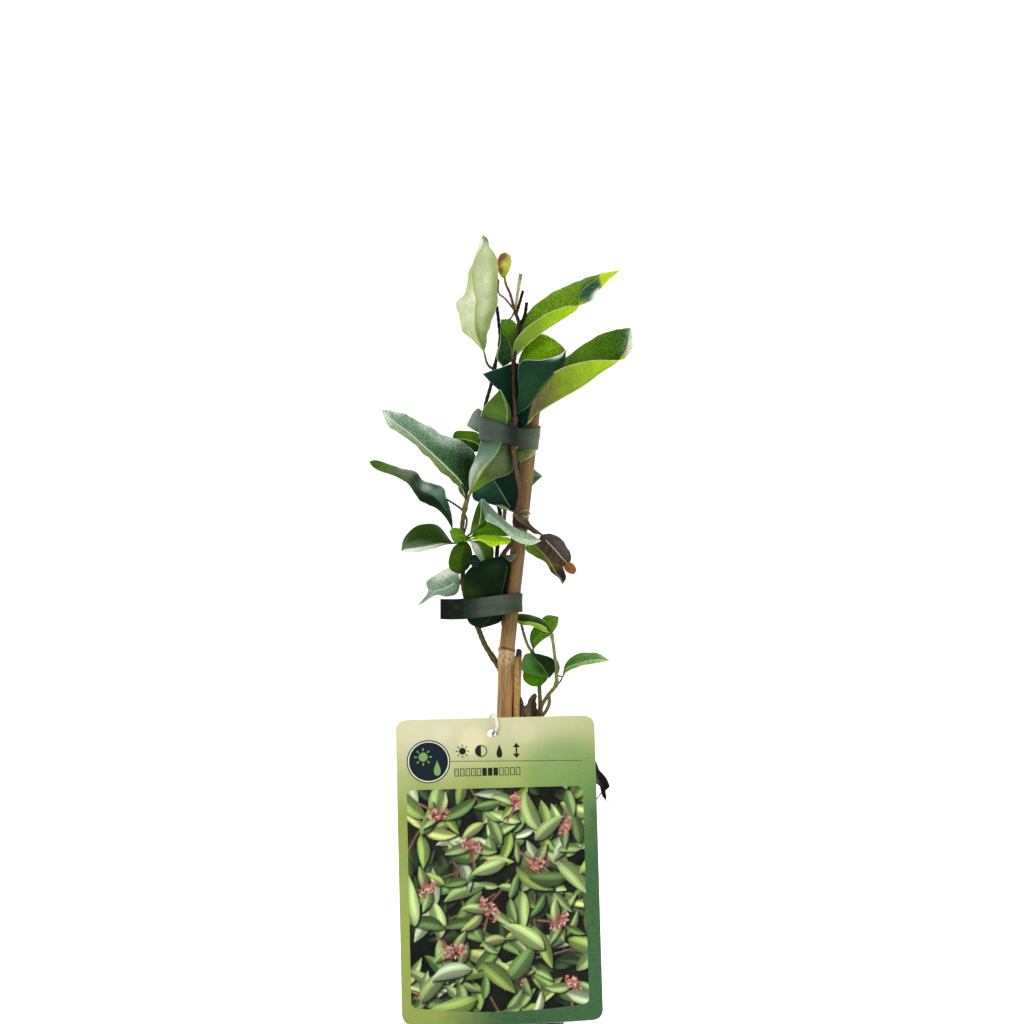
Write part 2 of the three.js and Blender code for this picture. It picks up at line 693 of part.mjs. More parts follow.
function shootLeft() {
  return joined([
    stem(LEFT_STEM, ROOTED.left.radius, 1, 7),
    leafOn([[-17.4, -4.8, 258]], UNDER_TAPE_LEFT, 1),
    leafOn([[-17.4, -4.8, 258.5]], SILVER_BIG, 0.9),
    leafOn([[-18, -4.6, 255.5]], BEHIND_SILVER, 0.5),
    leafOn([CLUSTER, [-21.4, -4, 243.6]], RIBBON, 0.6),
    stem([CLUSTER, [-16.6, -3.6, 252], [-19, -3.6, 257], [-26.6, -3, 262.4]], 0.55, 0.45),
    leafOn([CLUSTER, [-20.4, -5.6, 241]], HALF_DISC, 0.7),
    leafOn([CLUSTER, [-17.6, -5.4, 242.8]], BRIGHT_LEFT, 0.6),
    leafOn([CLUSTER, [-16.8, -5.4, 242.2]], BRIGHT_RIGHT, 0.7),
    leafOn([CLUSTER], MID_GREEN, 0.6),
    leafOn([CLUSTER, [-16.8, -4.2, 243.4]], UPRIGHT, 0.6),
    leafOn([CLUSTER, [-14.8, -6.6, 244.8], [-11, -9.4, 248.6]], SILVER_CURVED, 0.6),
    leafOn([CLUSTER], DARK_ROUND, 0.6),
    leafOn([CLUSTER], HANGING, 0.6),
    leafOn([[-18.2, -2.8, 221.4]], PALE_TAILED, 0.7),
  ]);
}

// ---- the back stem and its leaves ---------------------------------------------------
const PALE_TALL = {
  base: [-8, -1.4, 336],
  across: [
    [[-5.8, 0.4, 344], [-11.4, -3, 345], [-18.6, -0.6, 346.8]],
    [[-2.2, 0.6, 354], [-12.3, -4, 356], [-22.3, -0.4, 357.5]],
    [[-0.9, 1, 367], [-12.8, -4, 368], [-18, -0.6, 369]],
    [[-1.3, 1.4, 379], [-10.8, -3.4, 379.5], [-14.4, -0.4, 380.5]],
    [[-4.6, 1.6, 388], [-8.6, -1.4, 388.4], [-11.2, 0.2, 389]],
  ],
  tip: [-8.4, 1.6, 394.6],
};
const BEHIND_GREEN = {
  base: [-8.4, 4.4, 287],
  across: [
    [[-12.8, 2.2, 286], [-12, 1.8, 290.6], [-11, 2.4, 295.4]],
    [[-18.4, 2.2, 287.8], [-18, 1.8, 292.4], [-17.6, 2.6, 297]],
  ],
  tip: [-24.4, 3.4, 292],
};
const BACK_STEM = [
  ...rooted("back"),
  [1.8, 13.6, 120],
  [2.6, 11.4, 150],
  [2.8, 10.6, 175],
  [2, 10.2, 198],
  [-0.4, 9.4, 210],
  [-1.7, 8.4, 221],
  [-1.7, 7.6, 232],
  [-1.1, 7, 241],
  [0, 7, 254.5],
  [-2, 7, 264],
  [-5, 6.8, 275],
  [-8, 6.2, 287],
  [-8.3, 5.6, 298],
  [-7.5, 5, 308.5],
  [-4.3, 4, 320.5],
  [-2.4, 3.6, 330],
  [0, 3.2, 340.5],
  [-0.7, 3.2, 351.5],
  [-1.6, 3.4, 359],
];

function shootBack() {
  return joined([
    stem(BACK_STEM, ROOTED.back.radius, 0.8, 7),
    leafOn([[-2.6, 3.6, 328], [-4.6, 1.4, 328.2], [-6.6, -0.6, 330.6]], PALE_TALL, 0.7),
    leafOn([[-8, 6.2, 285]], BEHIND_GREEN, 0.7),
  ]);
}

// ---- the low shoot on the right -----------------------------------------------------
const ROUNDED = {
  base: [16, -1.4, 185.6],
  across: [
    [[20.5, -1.6, 184.8], [17.6, -3.4, 182.6], [12.2, -4, 184.6]],
    [[26.6, -0.6, 182.2], [20.6, -4, 179.4], [11, -5.4, 177]],
    [[27.5, -1, 177], [23.2, -3.6, 175.6], [16.6, -5.4, 174.4]],
  ],
  tip: [24.8, -3, 173.2],
};
const BRIGHT_BEHIND = {
  base: [20.2, -0.6, 168.6],
  across: [
    [[15, -2.6, 169.4], [17.6, -1.8, 173], [24, -0.6, 173.6]],
    [[11.6, -3.4, 172.6], [14, -2.6, 176], [20, -1, 178]],
  ],
  tip: [11.8, -2.8, 177.5],
};
const TINY_DARK = {
  base: [28.6, 0.6, 173.6],
  across: [[[28.2, 0.9, 178.6], [29, 0.7, 178.4], [29.9, 0.9, 178]]],
  tip: [28.6, 1, 182.8],
};
const DROOPING = {
  base: [26, -0.2, 195.6],
  across: [
    [[21.4, -0.6, 196.8], [21.4, -1.4, 199.3], [21.8, 1.4, 201.2]],
    [[15.8, 1.6, 199.2], [16, 1.4, 200.8], [15.4, 4.2, 203.8]],
  ],
  tip: [9, 5.4, 203],
};
const RISING = {
  base: [16.6, 2, 187],
  across: [
    [[14.9, 4.6, 192], [17, 3.6, 190.8], [18.2, 2.6, 189]],
    [[15.7, 5.8, 196.4], [19.4, 4.4, 194.4], [21.6, 3.2, 192]],
    [[19.4, 6.4, 200.8], [22.6, 4.8, 198.2], [25.4, 3.4, 194.6]],
    [[23.4, 5.6, 204.2], [26, 4.4, 201.6], [28.8, 3, 199.4]],
  ],
  tip: [29.4, 3.4, 203.6],
};
const ARCHING = {
  base: [31.3, -0.2, 173.6],
  across: [
    [[33.2, 1.6, 181], [33.2, -1, 177.8], [33.6, -3, 176.2]],
    [[39.6, 2.4, 185.2], [40, -2, 180.6], [40, -4.6, 179]],
    [[48.4, 1.8, 185.4], [48, -2, 182.2], [48.4, -4, 180.6]],
  ],
  tip: [55.1, -1.4, 181.6],
};

function shootLow() {
  const main = [...rooted("low"), [17.4, 3, 120], [19, 1, 142], [20, 0.6, 156]];
  const foot = [20, 0.6, 155];
  return joined([
    stem([...main, [19.8, 0.6, 166], [18.6, 1, 176], [16.2, 1, 186]], ROOTED.low.radius, 0.9, 7),
    stem([foot, [21, 0, 159.5], [24, -0.2, 164.4], [28, 0, 169.6], [28, 0, 176], [27, -0.2, 187], [25.8, -0.2, 195.2]], 1, 0.75),
    stem([[24.4, -0.2, 164.6], [24.6, -1.8, 160.4], [22.6, -2.6, 156], [19.8, -1.6, 153], [18.8, 1.4, 144]], 0.9, 0.9, 3),
    stem([[16.2, 1, 185.6], [13.8, 2.8, 189.6], [11.9, 4.4, 195], [9.8, 6.2, 201.4]], 0.75, 0.7),
    leafOn([[16.2, 1, 185.8], [16.2, -0.4, 186.2]], ROUNDED, 0.5),
    leafOn([[19.8, 0.6, 166.4]], BRIGHT_BEHIND, 0.6),
    blade(TINY_DARK),
    leafOn([[25.9, -0.2, 194.4]], DROOPING, 0.6),
    leafOn([[16.2, 1, 185.4]], RISING, 0.6),
    leafOn([[28, 0, 169.2], [30.2, 0, 171.4]], ARCHING, 0.5),
    stem([[28, 0, 174.4], [29.8, -0.1, 174], [31.6, -0.2, 173.4]], 0.5, 0.45),
  ]);
}

// ---- dead growth --------------------------------------------------------------------
const WITHERED = {
  base: [21, -6.5, 244.6],
  across: [
    [[26.4, -4.6, 244.4], [24, -7.6, 240.6], [20.4, -8.6, 239]],
    [[32.8, -4.4, 240.4], [28, -8.6, 236.4], [25, -8, 233]],
    [[34.8, -5.2, 233.4], [31, -8, 232.4], [29.6, -7, 229.8]],
  ],
  tip: [33.6, -6.8, 229.4],
};
const WITHERED_TIP = {
  base: [32.4, -7, 231.4],
  across: [
    [[36, -6.2, 230.4], [34, -7.8, 229.4], [32, -6.8, 227.8]],
    [[38, -6, 226.8], [35.8, -7.6, 226.6], [34.4, -6.4, 225.4]],
  ],
  tip: [37, -6.4, 225],
};
const WITHERED_LOW = {
  base: [42, -0.4, 137.6],
  across: [
    [[47.6, -1.2, 134], [45, -2.4, 131.6], [41.4, 0, 130.6]],
    [[51.6, -1.2, 126.4], [48.4, -3, 124.4], [44, 0.4, 121.6]],
    [[54.2, -1.2, 119], [51.2, -3, 117.6], [48.2, -0.4, 115]],
  ],
  tip: [53, -1.4, 112.4],
};
const SCRAP_TALL = {
  base: [14.6, -2, 141],
  across: [
    [[11.9, -1, 151], [15, -3.4, 151], [18, -1.6, 151]],
    [[12.3, -1.4, 160], [15.2, -4, 159.4], [17.9, -1.8, 158.4]],
  ],
  tip: [16.9, -2.6, 165],
};
const SCRAP_SHORT = {
  base: [14.2, -2.4, 141],
  across: [[[11.6, -3.2, 152.4], [12, -4.2, 152.6], [13, -4.6, 152]]],
  tip: [11.5, -3.2, 163.4],
};

function witheredLeaf() {
  const stalk = [[7.4, -10.6, 255.4], [11, -8, 251.8], [14.4, -6.2, 248.6], [18, -6, 246.2]];
  return leafOn(stalk, WITHERED, 0.75).add(blade(WITHERED_TIP));
}

function witheredLow() {
  return leafOn([[19.7, 2.5, 122], [24.6, 1.6, 132], [33, 0.4, 138]], WITHERED_LOW, 0.7);
}

function dryScraps() {
  const twig = [...rooted("scrap"), [13.8, -2, 120], [14.4, -2, 145]];
  return joined([stem(twig, ROOTED.scrap.radius, 0.9, 12), blade(SCRAP_TALL), blade(SCRAP_SHORT)]);
}

function oldStub() {
  const heights = [rootEnd, 100, 140, 172, 181, 184.6, STUB.top];
  const radii = [0, 0, 0, -0.1, -0.3, -0.45, -1.1].map((r) => STUB.radius + r);
  const shift = [0, 0, 0, 0.3, 0.7, 0.85, 1.1];
  const points = heights.map((z, i) => {
    return new THREE.Vector3(STUB.x + shift[i], STUB.y + shift[i] / 2, z);
  });
  return solid(bar(points, radii, 8));
}

// ---- tie tapes ----------------------------------------------------------------------
// A tape is a flat strip on edge. Each stop gives its place in plan and its upper and
// lower edge, so the strip can climb and twist a little as it goes round.
function tape(stops) {
  const edge = (column) => {
    const points = stops.map(([x, y, top, low, slant = 0]) => {
      return new THREE.Vector3(x + (column === 2 ? slant : 0), y, column === 2 ? top : low);
    });
    return new THREE.CatmullRomCurve3(points);
  };
  const [top, low] = [edge(2), edge(3)];
  const steps = 2 * (stops.length - 1);
  const rows = [];
  for (let i = 0; i <= steps; i++) {
    rows.push([low.getPoint(i / steps), top.getPoint(i / steps)]);
  }
  return sheet(rows, TAPE);
}

const UPPER_TAPE = [
  [-16.8, 5.4, 305.6, 299.4, 3],
  [-12.4, 6.4, 308, 296.6, 1.4],
  [-8, 8, 306, 295],
  [0, 8.4, 304, 293],
  [10, 7.8, 301.5, 290.5],
  [16.6, 6, 300, 288.5],
  [20.4, 2.8, 299.2, 287.5],
  [21.4, -1, 298.8, 287.2],
  [18.6, -5.4, 298, 287],
  [13.6, -10, 297.5, 287],
  [7, -13.2, 298.4, 289],
  [0, -14.8, 300.6, 291],
  [-6, -15.6, 302.2, 291.8],
  [-9, -15.6, 303, 292],
  [-10.3, -14.2, 303.4, 292],
  [-10.4, -10.4, 303.6, 292],
  [-10, -7, 303.6, 292],
];
const LOWER_TAPE = [
  [-29.7, -7.9, 212.6, 202.6],
  [-24, -8.4, 212.6, 202.4],
  [-19.2, -11.4, 212.5, 202.6],
  [-16, -12.6, 212.8, 202.8],
  [-8, -10.8, 213.6, 203.8],
  [1, -7.6, 214.8, 204.8],
  [6.4, -5.4, 215.3, 205.6],
  [9.8, -3.6, 215.5, 206],
  [11.1, 0.4, 215.5, 206],
  [9.8, 5, 215.4, 206],
  [6, 9.6, 215.2, 206],
  [0.4, 11.6, 214.8, 205.6],
  [-7, 8.8, 214, 204.6],
  [-13.4, 3.6, 213.4, 203.4],
  [-18.4, -1, 212.8, 202.8],
  [-21.6, -4.6, 212.6, 202.6],
  [-25, -6.8, 212.6, 202.6],
  [-29.6, -6.8, 212.6, 202.6],
];

// ---- label and its tie --------------------------------------------------------------
const LABEL_TURN = new THREE.Matrix4().compose(
  LABEL.middle,
  new THREE.Quaternion().setFromEuler(
    new THREE.Euler(
      THREE.MathUtils.degToRad(90 - LABEL.lean),
      0,
      THREE.MathUtils.degToRad(LABEL.roll),
    ),
  ),
  new THREE.Vector3(1, 1, 1),
);

function onLabel(x, y, out) {
  return new THREE.Vector3(x, y, out).applyMatrix4(LABEL_TURN);
}

// A card with rounded corners, a slightly bowed lower edge and an eye near the top.
function label() {
  const [w, h, r] = [LABEL.width / 2, LABEL.height / 2, LABEL.corner];
  const outline = new THREE.Shape();
  outline.moveTo(-w, -h + r);
  outline.quadraticCurveTo(-w, -h, -w + r, -h);
  outline.quadraticCurveTo(0, -h - LABEL.bow, w - r, -h);
  outline.quadraticCurveTo(w, -h, w, -h + r);
  outline.lineTo(w, h - r);
  outline.quadraticCurveTo(w, h, w - r, h);
  outline.lineTo(-w + r, h);
  outline.quadraticCurveTo(-w, h, -w, h - r);
  const eye = new THREE.Path();
  eye.absellipse(LABEL.eye.x, LABEL.eye.y, LABEL.eyeSize.x, LABEL.eyeSize.y, 0, 2 * Math.PI);
  outline.holes.push(eye);
  const settings = { depth: LABEL.thick, bevelEnabled: false, curveSegments: 6 };
  const card = new THREE.ExtrudeGeometry(outline, settings);
  card.applyMatrix4(LABEL_TURN);
  return solid(card);
}

// The tie is one closed loop: out of the eye, up the front of the card, over its edge,
// round the cane and the old stub, and down the back of the card to the eye again.
function labelTie() {
  const [x, y] = [LABEL.eye.x, LABEL.eye.y];
  const front = LABEL.thick + TIE_RADIUS + CLEARANCE;
  const back = -TIE_RADIUS - CLEARANCE;
  const top = LABEL.height / 2;
  const route = [
    onLabel(x + 0.2, y - 0.3, LABEL.thick / 2),
    onLabel(x + 0.9, y + 0.5, front + 0.7),
    onLabel(x + 2.2, y + 3.6, front + 0.3),
    onLabel(x + 1.8, top - 1, front + 0.3),
    onLabel(x + 0.8, top + 1.7, front - 0.5),
    onLabel(x - 0.4, top + 1.8, back),
    onLabel(x - 1.2, top - 0.4, back - 2.6),
    new THREE.Vector3(-1.9, -20, 151),
    new THREE.Vector3(-3.2, -8, 149.6),
    new THREE.Vector3(-3.6, -0.6, 148.6),
    new THREE.Vector3(-1.8, 4.2, 148.2),
    new THREE.Vector3(2.2, 5.4, 147.8),
    new THREE.Vector3(6.2, 5.7, 147.4),
    new THREE.Vector3(9.8, 6.6, 147),
    new THREE.Vector3(12.2, 4.4, 146.8),
    new THREE.Vector3(11.6, -0.4, 146.6),
    new THREE.Vector3(8, -7, 146.2),
    new THREE.Vector3(3.4, -14, 145.6),
    new THREE.Vector3(-0.4, -23, 144.8),
    onLabel(x + 0.1, y - 0.9, back - 2.6),
  ];
  const curve = new THREE.CatmullRomCurve3(route, true);
  const steps = 44;
  const geometry = ringBar(curve.getSpacedPoints(steps).slice(0, steps), TIE_RADIUS, 5);
  return solid(geometry);
}

// A round bar that closes on itself, with the twist left over shared out along it.
function ringBar(points, radius, sides) {
  const count = points.length;
  const at = (i) => points[(i + count) % count];
  const tangents = points.map((_, i) => at(i + 1).clone().sub(at(i - 1)).normalize());
  const across = [new THREE.Vector3(0, 0, 1).cross(tangents[0]).normalize()];
  const turn = new THREE.Quaternion();
  for (let i = 1; i <= count; i++) {
    turn.setFromUnitVectors(tangents[i - 1], tangents[i % count]);
    across.push(across[i - 1].clone().applyQuaternion(turn));
  }
  const closing = across[count].angleTo(across[0]);
  const sign = Math.sign(across[count].clone().cross(across[0]).dot(tangents[0]));
  const triangles = [];
  const vertices = [];
  for (let i = 0; i < count; i++) {
    const lean = across[i].applyAxisAngle(tangents[i], (sign * closing * i) / count);
    const up = tangents[i].clone().cross(lean);
    for (let k = 0; k < sides; k++) {
      const angle = (2 * Math.PI * k) / sides;
      const out = lean.clone().multiplyScalar(Math.cos(angle)).addScaledVector(up, Math.sin(angle));
      vertices.push(out.multiplyScalar(radius).add(points[i]));
      const [a, b] = [i * sides + k, i * sides + ((k + 1) % sides)];
      const [c, d] = [a, b].map((id) => (id + sides) % (count * sides));
      triangles.push(a, b, d, a, d, c);
    }
  }
  return geometryOf(vertices, triangles);
}

// ---- the whole part -----------------------------------------------------------------
piece("pot", pot(), finish(0x15171a, 0.5));
piece("soil", soil(), finish(0x2b2019, 0.95));
piece("bamboo_cane", cane(), finish(0xa58250, 0.6));
piece("old_stem_stub", oldStub(), finish(0x8c6a42, 0.8));
piece("shoot_front", shootFront(), finish(0x3f6b2c, 0.45));
piece("shoot_left", shootLeft(), finish(0x5a8048, 0.45));
piece("shoot_back", shootBack(), finish(0xa9bd90, 0.5));
piece("shoot_low_right", shootLow(), finish(0x4b7a34, 0.45));
piece("withered_leaf", witheredLeaf(), finish(0x4b3e3a, 0.8));
piece("withered_leaf_low", witheredLow(), finish(0x2a2522, 0.8));
piece("dry_scraps", dryScraps(), finish(0x3a2c26, 0.9));
piece("tie_tape_upper", tape(UPPER_TAPE), finish(0x4b554d, 0.35));
piece("tie_tape_lower", tape(LOWER_TAPE), finish(0x2f3a32, 0.35));
piece("label_card", label(), finish(0x8fae62, 0.4));
piece("label_tie", labelTie(), finish(0xe9e6df, 0.5));

export default part;
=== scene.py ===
# A young honeysuckle vine in its nursery pot: four shoots tied to a bamboo cane, with a
# picture label hanging in front. Lengths in the tables are millimetres in the frame's
# axes: +X to the right, +Y to the back, +Z up.
import math

import bpy
import numpy as np
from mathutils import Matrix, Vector


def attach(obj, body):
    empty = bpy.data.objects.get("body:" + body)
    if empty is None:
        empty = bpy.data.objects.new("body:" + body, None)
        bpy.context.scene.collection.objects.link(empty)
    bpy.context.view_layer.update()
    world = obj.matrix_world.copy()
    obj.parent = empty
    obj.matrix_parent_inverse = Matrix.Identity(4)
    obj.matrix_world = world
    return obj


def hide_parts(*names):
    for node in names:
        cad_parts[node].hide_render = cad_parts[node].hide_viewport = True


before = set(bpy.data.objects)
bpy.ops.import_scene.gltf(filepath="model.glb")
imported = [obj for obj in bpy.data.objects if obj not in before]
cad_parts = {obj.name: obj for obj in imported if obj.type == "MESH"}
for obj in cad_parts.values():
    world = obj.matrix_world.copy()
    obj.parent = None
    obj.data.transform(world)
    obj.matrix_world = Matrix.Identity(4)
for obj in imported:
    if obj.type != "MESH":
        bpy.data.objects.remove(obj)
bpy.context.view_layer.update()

# ---- Studio -------------------------------------------------------------------------
# A plain pale paper sweep lies under the plant and curves up behind it, under large soft
# lights. The camera is level with the middle of the plant and far away.
MM = 0.001
scene = bpy.context.scene
scene.view_settings.view_transform = "Standard"

SENSOR = 36.0
VIEW_AWAY, VIEW_WIDE, VIEW_RIGHT = 2.5, 0.512, 0.006  # metres, measured at the cane
camera_data = bpy.data.cameras.new("camera")
camera_data.sensor_width = SENSOR
camera_data.lens = SENSOR * VIEW_AWAY / VIEW_WIDE
camera_data.clip_end = 20.0
camera = bpy.data.objects.new("camera", camera_data)
camera.location = (VIEW_RIGHT, -VIEW_AWAY, VIEW_WIDE / 2)
camera.rotation_euler = (math.radians(90.0), 0.0, 0.0)
scene.collection.objects.link(camera)
scene.camera = camera


def soft_light(name, place, width, watts, colour=(1.0, 1.0, 1.0)):
    """A square lamp at a place in metres, turned to the middle of the plant."""
    data = bpy.data.lights.new(name, "AREA")
    data.size = width
    data.energy = watts
    data.color = colour
    light = bpy.data.objects.new(name, data)
    light.location = place
    turn = (Vector((0, 0, 0.25)) - Vector(place)).to_track_quat("-Z", "Y")
    light.rotation_euler = turn.to_euler()
    scene.collection.objects.link(light)


soft_light("light_front_left", (-1.3, -1.7, 1.5), 1.1, 24.0)
soft_light("light_right", (1.7, -0.6, 0.7), 0.9, 8.0)
soft_light("light_above_back", (0.5, 0.75, 1.5), 0.8, 24.0, (1.0, 0.99, 0.95))

world = bpy.data.worlds.new("studio_air")
scene.world = world
world.use_nodes = True
SKY_BEHIND, SKY_FRONT = 0.85, 0.36  # the air is brighter behind the plant than before it
air = world.node_tree
facing = air.nodes.new("ShaderNodeTexCoord")
split = air.nodes.new("ShaderNodeSeparateXYZ")
ramp = air.nodes.new("ShaderNodeMapRange")
ramp.inputs[1].default_value, ramp.inputs[2].default_value = -0.6, 0.5
ramp.inputs[3].default_value, ramp.inputs[4].default_value = SKY_FRONT, SKY_BEHIND
air.links.new(facing.outputs["Generated"], split.inputs[0])
air.links.new(split.outputs["Y"], ramp.inputs[0])
air.links.new(ramp.outputs[0], air.nodes["Background"].inputs["Strength"])
air.nodes["Background"].inputs["Color"].default_value = (1.0, 1.0, 1.0, 1.0)


def link(mat, socket, value):
    """Gives a shader socket a value, or joins another node's output to it."""
    if isinstance(value, bpy.types.NodeSocket):
        mat.node_tree.links.new(value, socket)
    else:
        socket.default_value = value


def node(mat, kind, inputs=(), out=0, **settings):
    """Adds a shader node, sets and joins its inputs, and returns one of its outputs."""
    made = mat.node_tree.nodes.new("ShaderNode" + kind)
    for key, value in settings.items():
        setattr(made, key, value)
    for key, value in dict(inputs).items():
        link(mat, made.inputs[key], value)
    return made.outputs[out]


def principled(name, **inputs):
    """A new material and a function that sets inputs of its main shader."""
    mat = bpy.data.materials.new(name)
    mat.use_nodes = True
    shader = mat.node_tree.nodes["Principled BSDF"]

    def put(**values):
        """Sets or joins inputs by their names, with _ for a space."""
        for key, value in values.items():
            link(mat, shader.inputs[key.replace("_", " ")], value)

    put(**inputs)
    return mat, put


def calc(mat, operation, a, b=0.0, c=0.0):
    """One arithmetic step between shader values."""
    return node(mat, "Math", {0: a, 1: b, 2: c}, operation=operation)


def noise(mat, place, scale, detail=3.0, rough=0.5):
    """Cloudy noise between 0 and 1, its grain about 1 / scale across."""
    inputs = {"Vector": place, "Scale": scale, "Detail": detail, "Roughness": rough}
    return node(mat, "TexNoise", inputs)


def blend(mat, share, a, b, mode="MIX"):
    """Colour a turned into colour b by a share from 0 to 1."""
    made = mat.node_tree.nodes.new("ShaderNodeMix")
    made.data_type = "RGBA"
    made.blend_type = mode
    link(mat, made.inputs[0], share)
    link(mat, made.inputs[6], a)
    link(mat, made.inputs[7], b)
    return made.outputs[2]


def spread(mat, value, low, high, to_low=0.0, to_high=1.0):
    """Maps low to high onto another range, with smooth ends."""
    inputs = {"Value": value, 1: low, 2: high, 3: to_low, 4: to_high}
    return node(mat, "MapRange", inputs, interpolation_type="SMOOTHSTEP")


def bump(mat, height, strength, distance):
    """A surface normal pushed in and out by a height, its distance in millimetres."""
    inputs = {"Height": height, "Strength": strength, "Distance": distance * MM}
    return node(mat, "Bump", inputs)


def axes(mat, place):
    """The x, y and z of a place, as three values."""
    return tuple(node(mat, "SeparateXYZ", {0: place}).node.outputs)


def rgb(code):
    """A screen colour such as '8ca569' as linear red, green, blue and alpha."""
    parts = [int(code[i : i + 2], 16) / 255.0 for i in (0, 2, 4)]
    linear = [p / 12.92 if p <= 0.04045 else ((p + 0.055) / 1.055) ** 2.4 for p in parts]
    return (*linear, 1.0)


def mesh_piece(name, points, faces, mat, smooth=True, **attributes):
    """A mesh object from points (n, 3) in millimetres and a list of face arrays.

    Each array holds vertex numbers, one face a row. Attributes with 4 columns are stored
    as colours, with 3 as vectors.
    """
    mesh = bpy.data.meshes.new(name)
    mesh.vertices.add(len(points))
    mesh.vertices.foreach_set("co", (np.asarray(points) * MM).astype(np.float32).ravel())
    corners = np.concatenate([f.ravel() for f in faces]).astype(np.int32)
    sizes = np.concatenate([np.full(len(f), f.shape[1]) for f in faces])
    starts = np.concatenate([[0], np.cumsum(sizes)[:-1]]).astype(np.int32)
    mesh.loops.add(len(corners))
    mesh.loops.foreach_set("vertex_index", corners)
    mesh.polygons.add(len(sizes))
    mesh.polygons.foreach_set("loop_start", starts)
    mesh.polygons.foreach_set("use_smooth", np.full(len(sizes), smooth))
    for key, values in attributes.items():
        kind = "FLOAT_COLOR" if values.shape[1] == 4 else "FLOAT_VECTOR"
        field = "color" if values.shape[1] == 4 else "vector"
        layer = mesh.attributes.new(key, kind, "POINT")
        layer.data.foreach_set(field, values.astype(np.float32).ravel())
    mesh.update(calc_edges=True)
    mesh.materials.append(mat)
    obj = bpy.data.objects.new(name, mesh)
    scene.collection.objects.link(obj)
    return obj


def grid_faces(rows, columns, first=0, wrap=False):
    """Four-cornered faces between rows of vertices; wrap joins a row's end to its start."""
    ids = first + np.arange(rows * columns).reshape(rows, columns)
    if wrap:
        ids = np.concatenate([ids, ids[:, :1]], axis=1)
    corners = [ids[:-1, :-1], ids[:-1, 1:], ids[1:, 1:], ids[1:, :-1]]
    return np.stack(corners, axis=-1).reshape(-1, 4)


# The paper's section: flat, then a quarter circle, then straight up.
PAPER_REACH, PAPER_BACK, PAPER_TOP, PAPER_BEND = 3400.0, 3500.0, 5000.0, 900.0
angle = np.linspace(0.0, math.pi / 2, 33)
paper_y = PAPER_BACK - PAPER_BEND + PAPER_BEND * np.sin(angle)
paper_y = np.concatenate([[-PAPER_REACH, 0.0], paper_y, [PAPER_BACK]])
paper_z = np.concatenate([[0.0, 0.0], PAPER_BEND - PAPER_BEND * np.cos(angle), [PAPER_TOP]])
paper_x = np.linspace(-PAPER_REACH, PAPER_REACH, 9)
paper_points = np.stack(
    np.broadcast_arrays(paper_x[None], paper_y[:, None], paper_z[:, None]), axis=-1
).reshape(-1, 3)
paper, put = principled("studio_paper", Roughness=0.9)
grain = noise(paper, node(paper, "TexCoord", out=3), 900.0, 2.0)
put(Base_Color=blend(paper, grain, rgb("f4f4f2"), rgb("fbfbf9")))
back = axes(paper, node(paper, "TexCoord", out=3))[1]
glow = spread(paper, back, 1.0, 2.6, 0.22, 0.5)
put(Emission_Color=(1.0, 1.0, 1.0, 1.0), Emission_Strength=glow)
studio_paper = mesh_piece("studio_paper", paper_points, [grid_faces(len(paper_y), 9)], paper)

# ---- Pot ----------------------------------------------------------------------------
# A square nursery pot of thin black plastic, injection moulded in one piece, with a rim
# band, rounded corners and four drainage holes in its flat base.
POT_HEIGHT = 95.0
POT_FLANGE = 88.0
POT_FOOT = 31.5
POT_TOP = 43.0
POT_RIM = 45.0
POT_WALL = 1.2
POT_CORNER = 8.0
POT_FLOOR = 3.0
HOLE_RADIUS, HOLE_FROM_MIDDLE = 4.0, 21.0
CORNER_STEPS = 12


def rounded_square(half, corner, z):
    """Rings of points: each half side, corner radius and height in mm gives one ring."""
    half, corner, z = (np.atleast_1d(v).astype(float)[:, None] for v in (half, corner, z))
    quarter = np.repeat(np.arange(4), CORNER_STEPS + 1)
    angle = (quarter + np.tile(np.linspace(0, 1, CORNER_STEPS + 1), 4)) * math.pi / 2
    side_x = np.array([1, -1, -1, 1])[quarter]
    side_y = np.array([1, 1, -1, -1])[quarter]
    x = side_x * (half - corner) + corner * np.cos(angle)
    y = side_y * (half - corner) + corner * np.sin(angle)
    return np.stack([x, y, np.broadcast_to(z, x.shape)], axis=-1)


def fan(middle, first, count, turned=False):
    """Triangles from a middle vertex to each pair of neighbours round a ring of vertices."""
    ring = first + np.arange(count)
    faces = np.stack([np.full(count, middle), ring, np.roll(ring, -1)], axis=-1)
    return faces[:, [0, 2, 1]] if turned else faces


def cut_hole(obj, mat, points):
    """Cuts a hole with a straight bar, whose points are one ring and then the other."""
    ring = np.arange(len(points) // 2)[None]
    sides = grid_faces(2, ring.size, wrap=True)
    bar = mesh_piece("drill", points, [sides, ring[:, ::-1], ring + ring.size], mat)
    cut = obj.modifiers.new("hole", "BOOLEAN")
    cut.object = bar
    cut.operation = "DIFFERENCE"
    evaluated = obj.evaluated_get(bpy.context.evaluated_depsgraph_get())
    obj.data = bpy.data.meshes.new_from_object(evaluated)
    obj.modifiers.clear()
    bpy.data.objects.remove(bar)


def pot_half(z):
    """Half the pot's outside width, which grows evenly from foot to flange."""
    return POT_FOOT + (POT_TOP - POT_FOOT) * z / POT_FLANGE


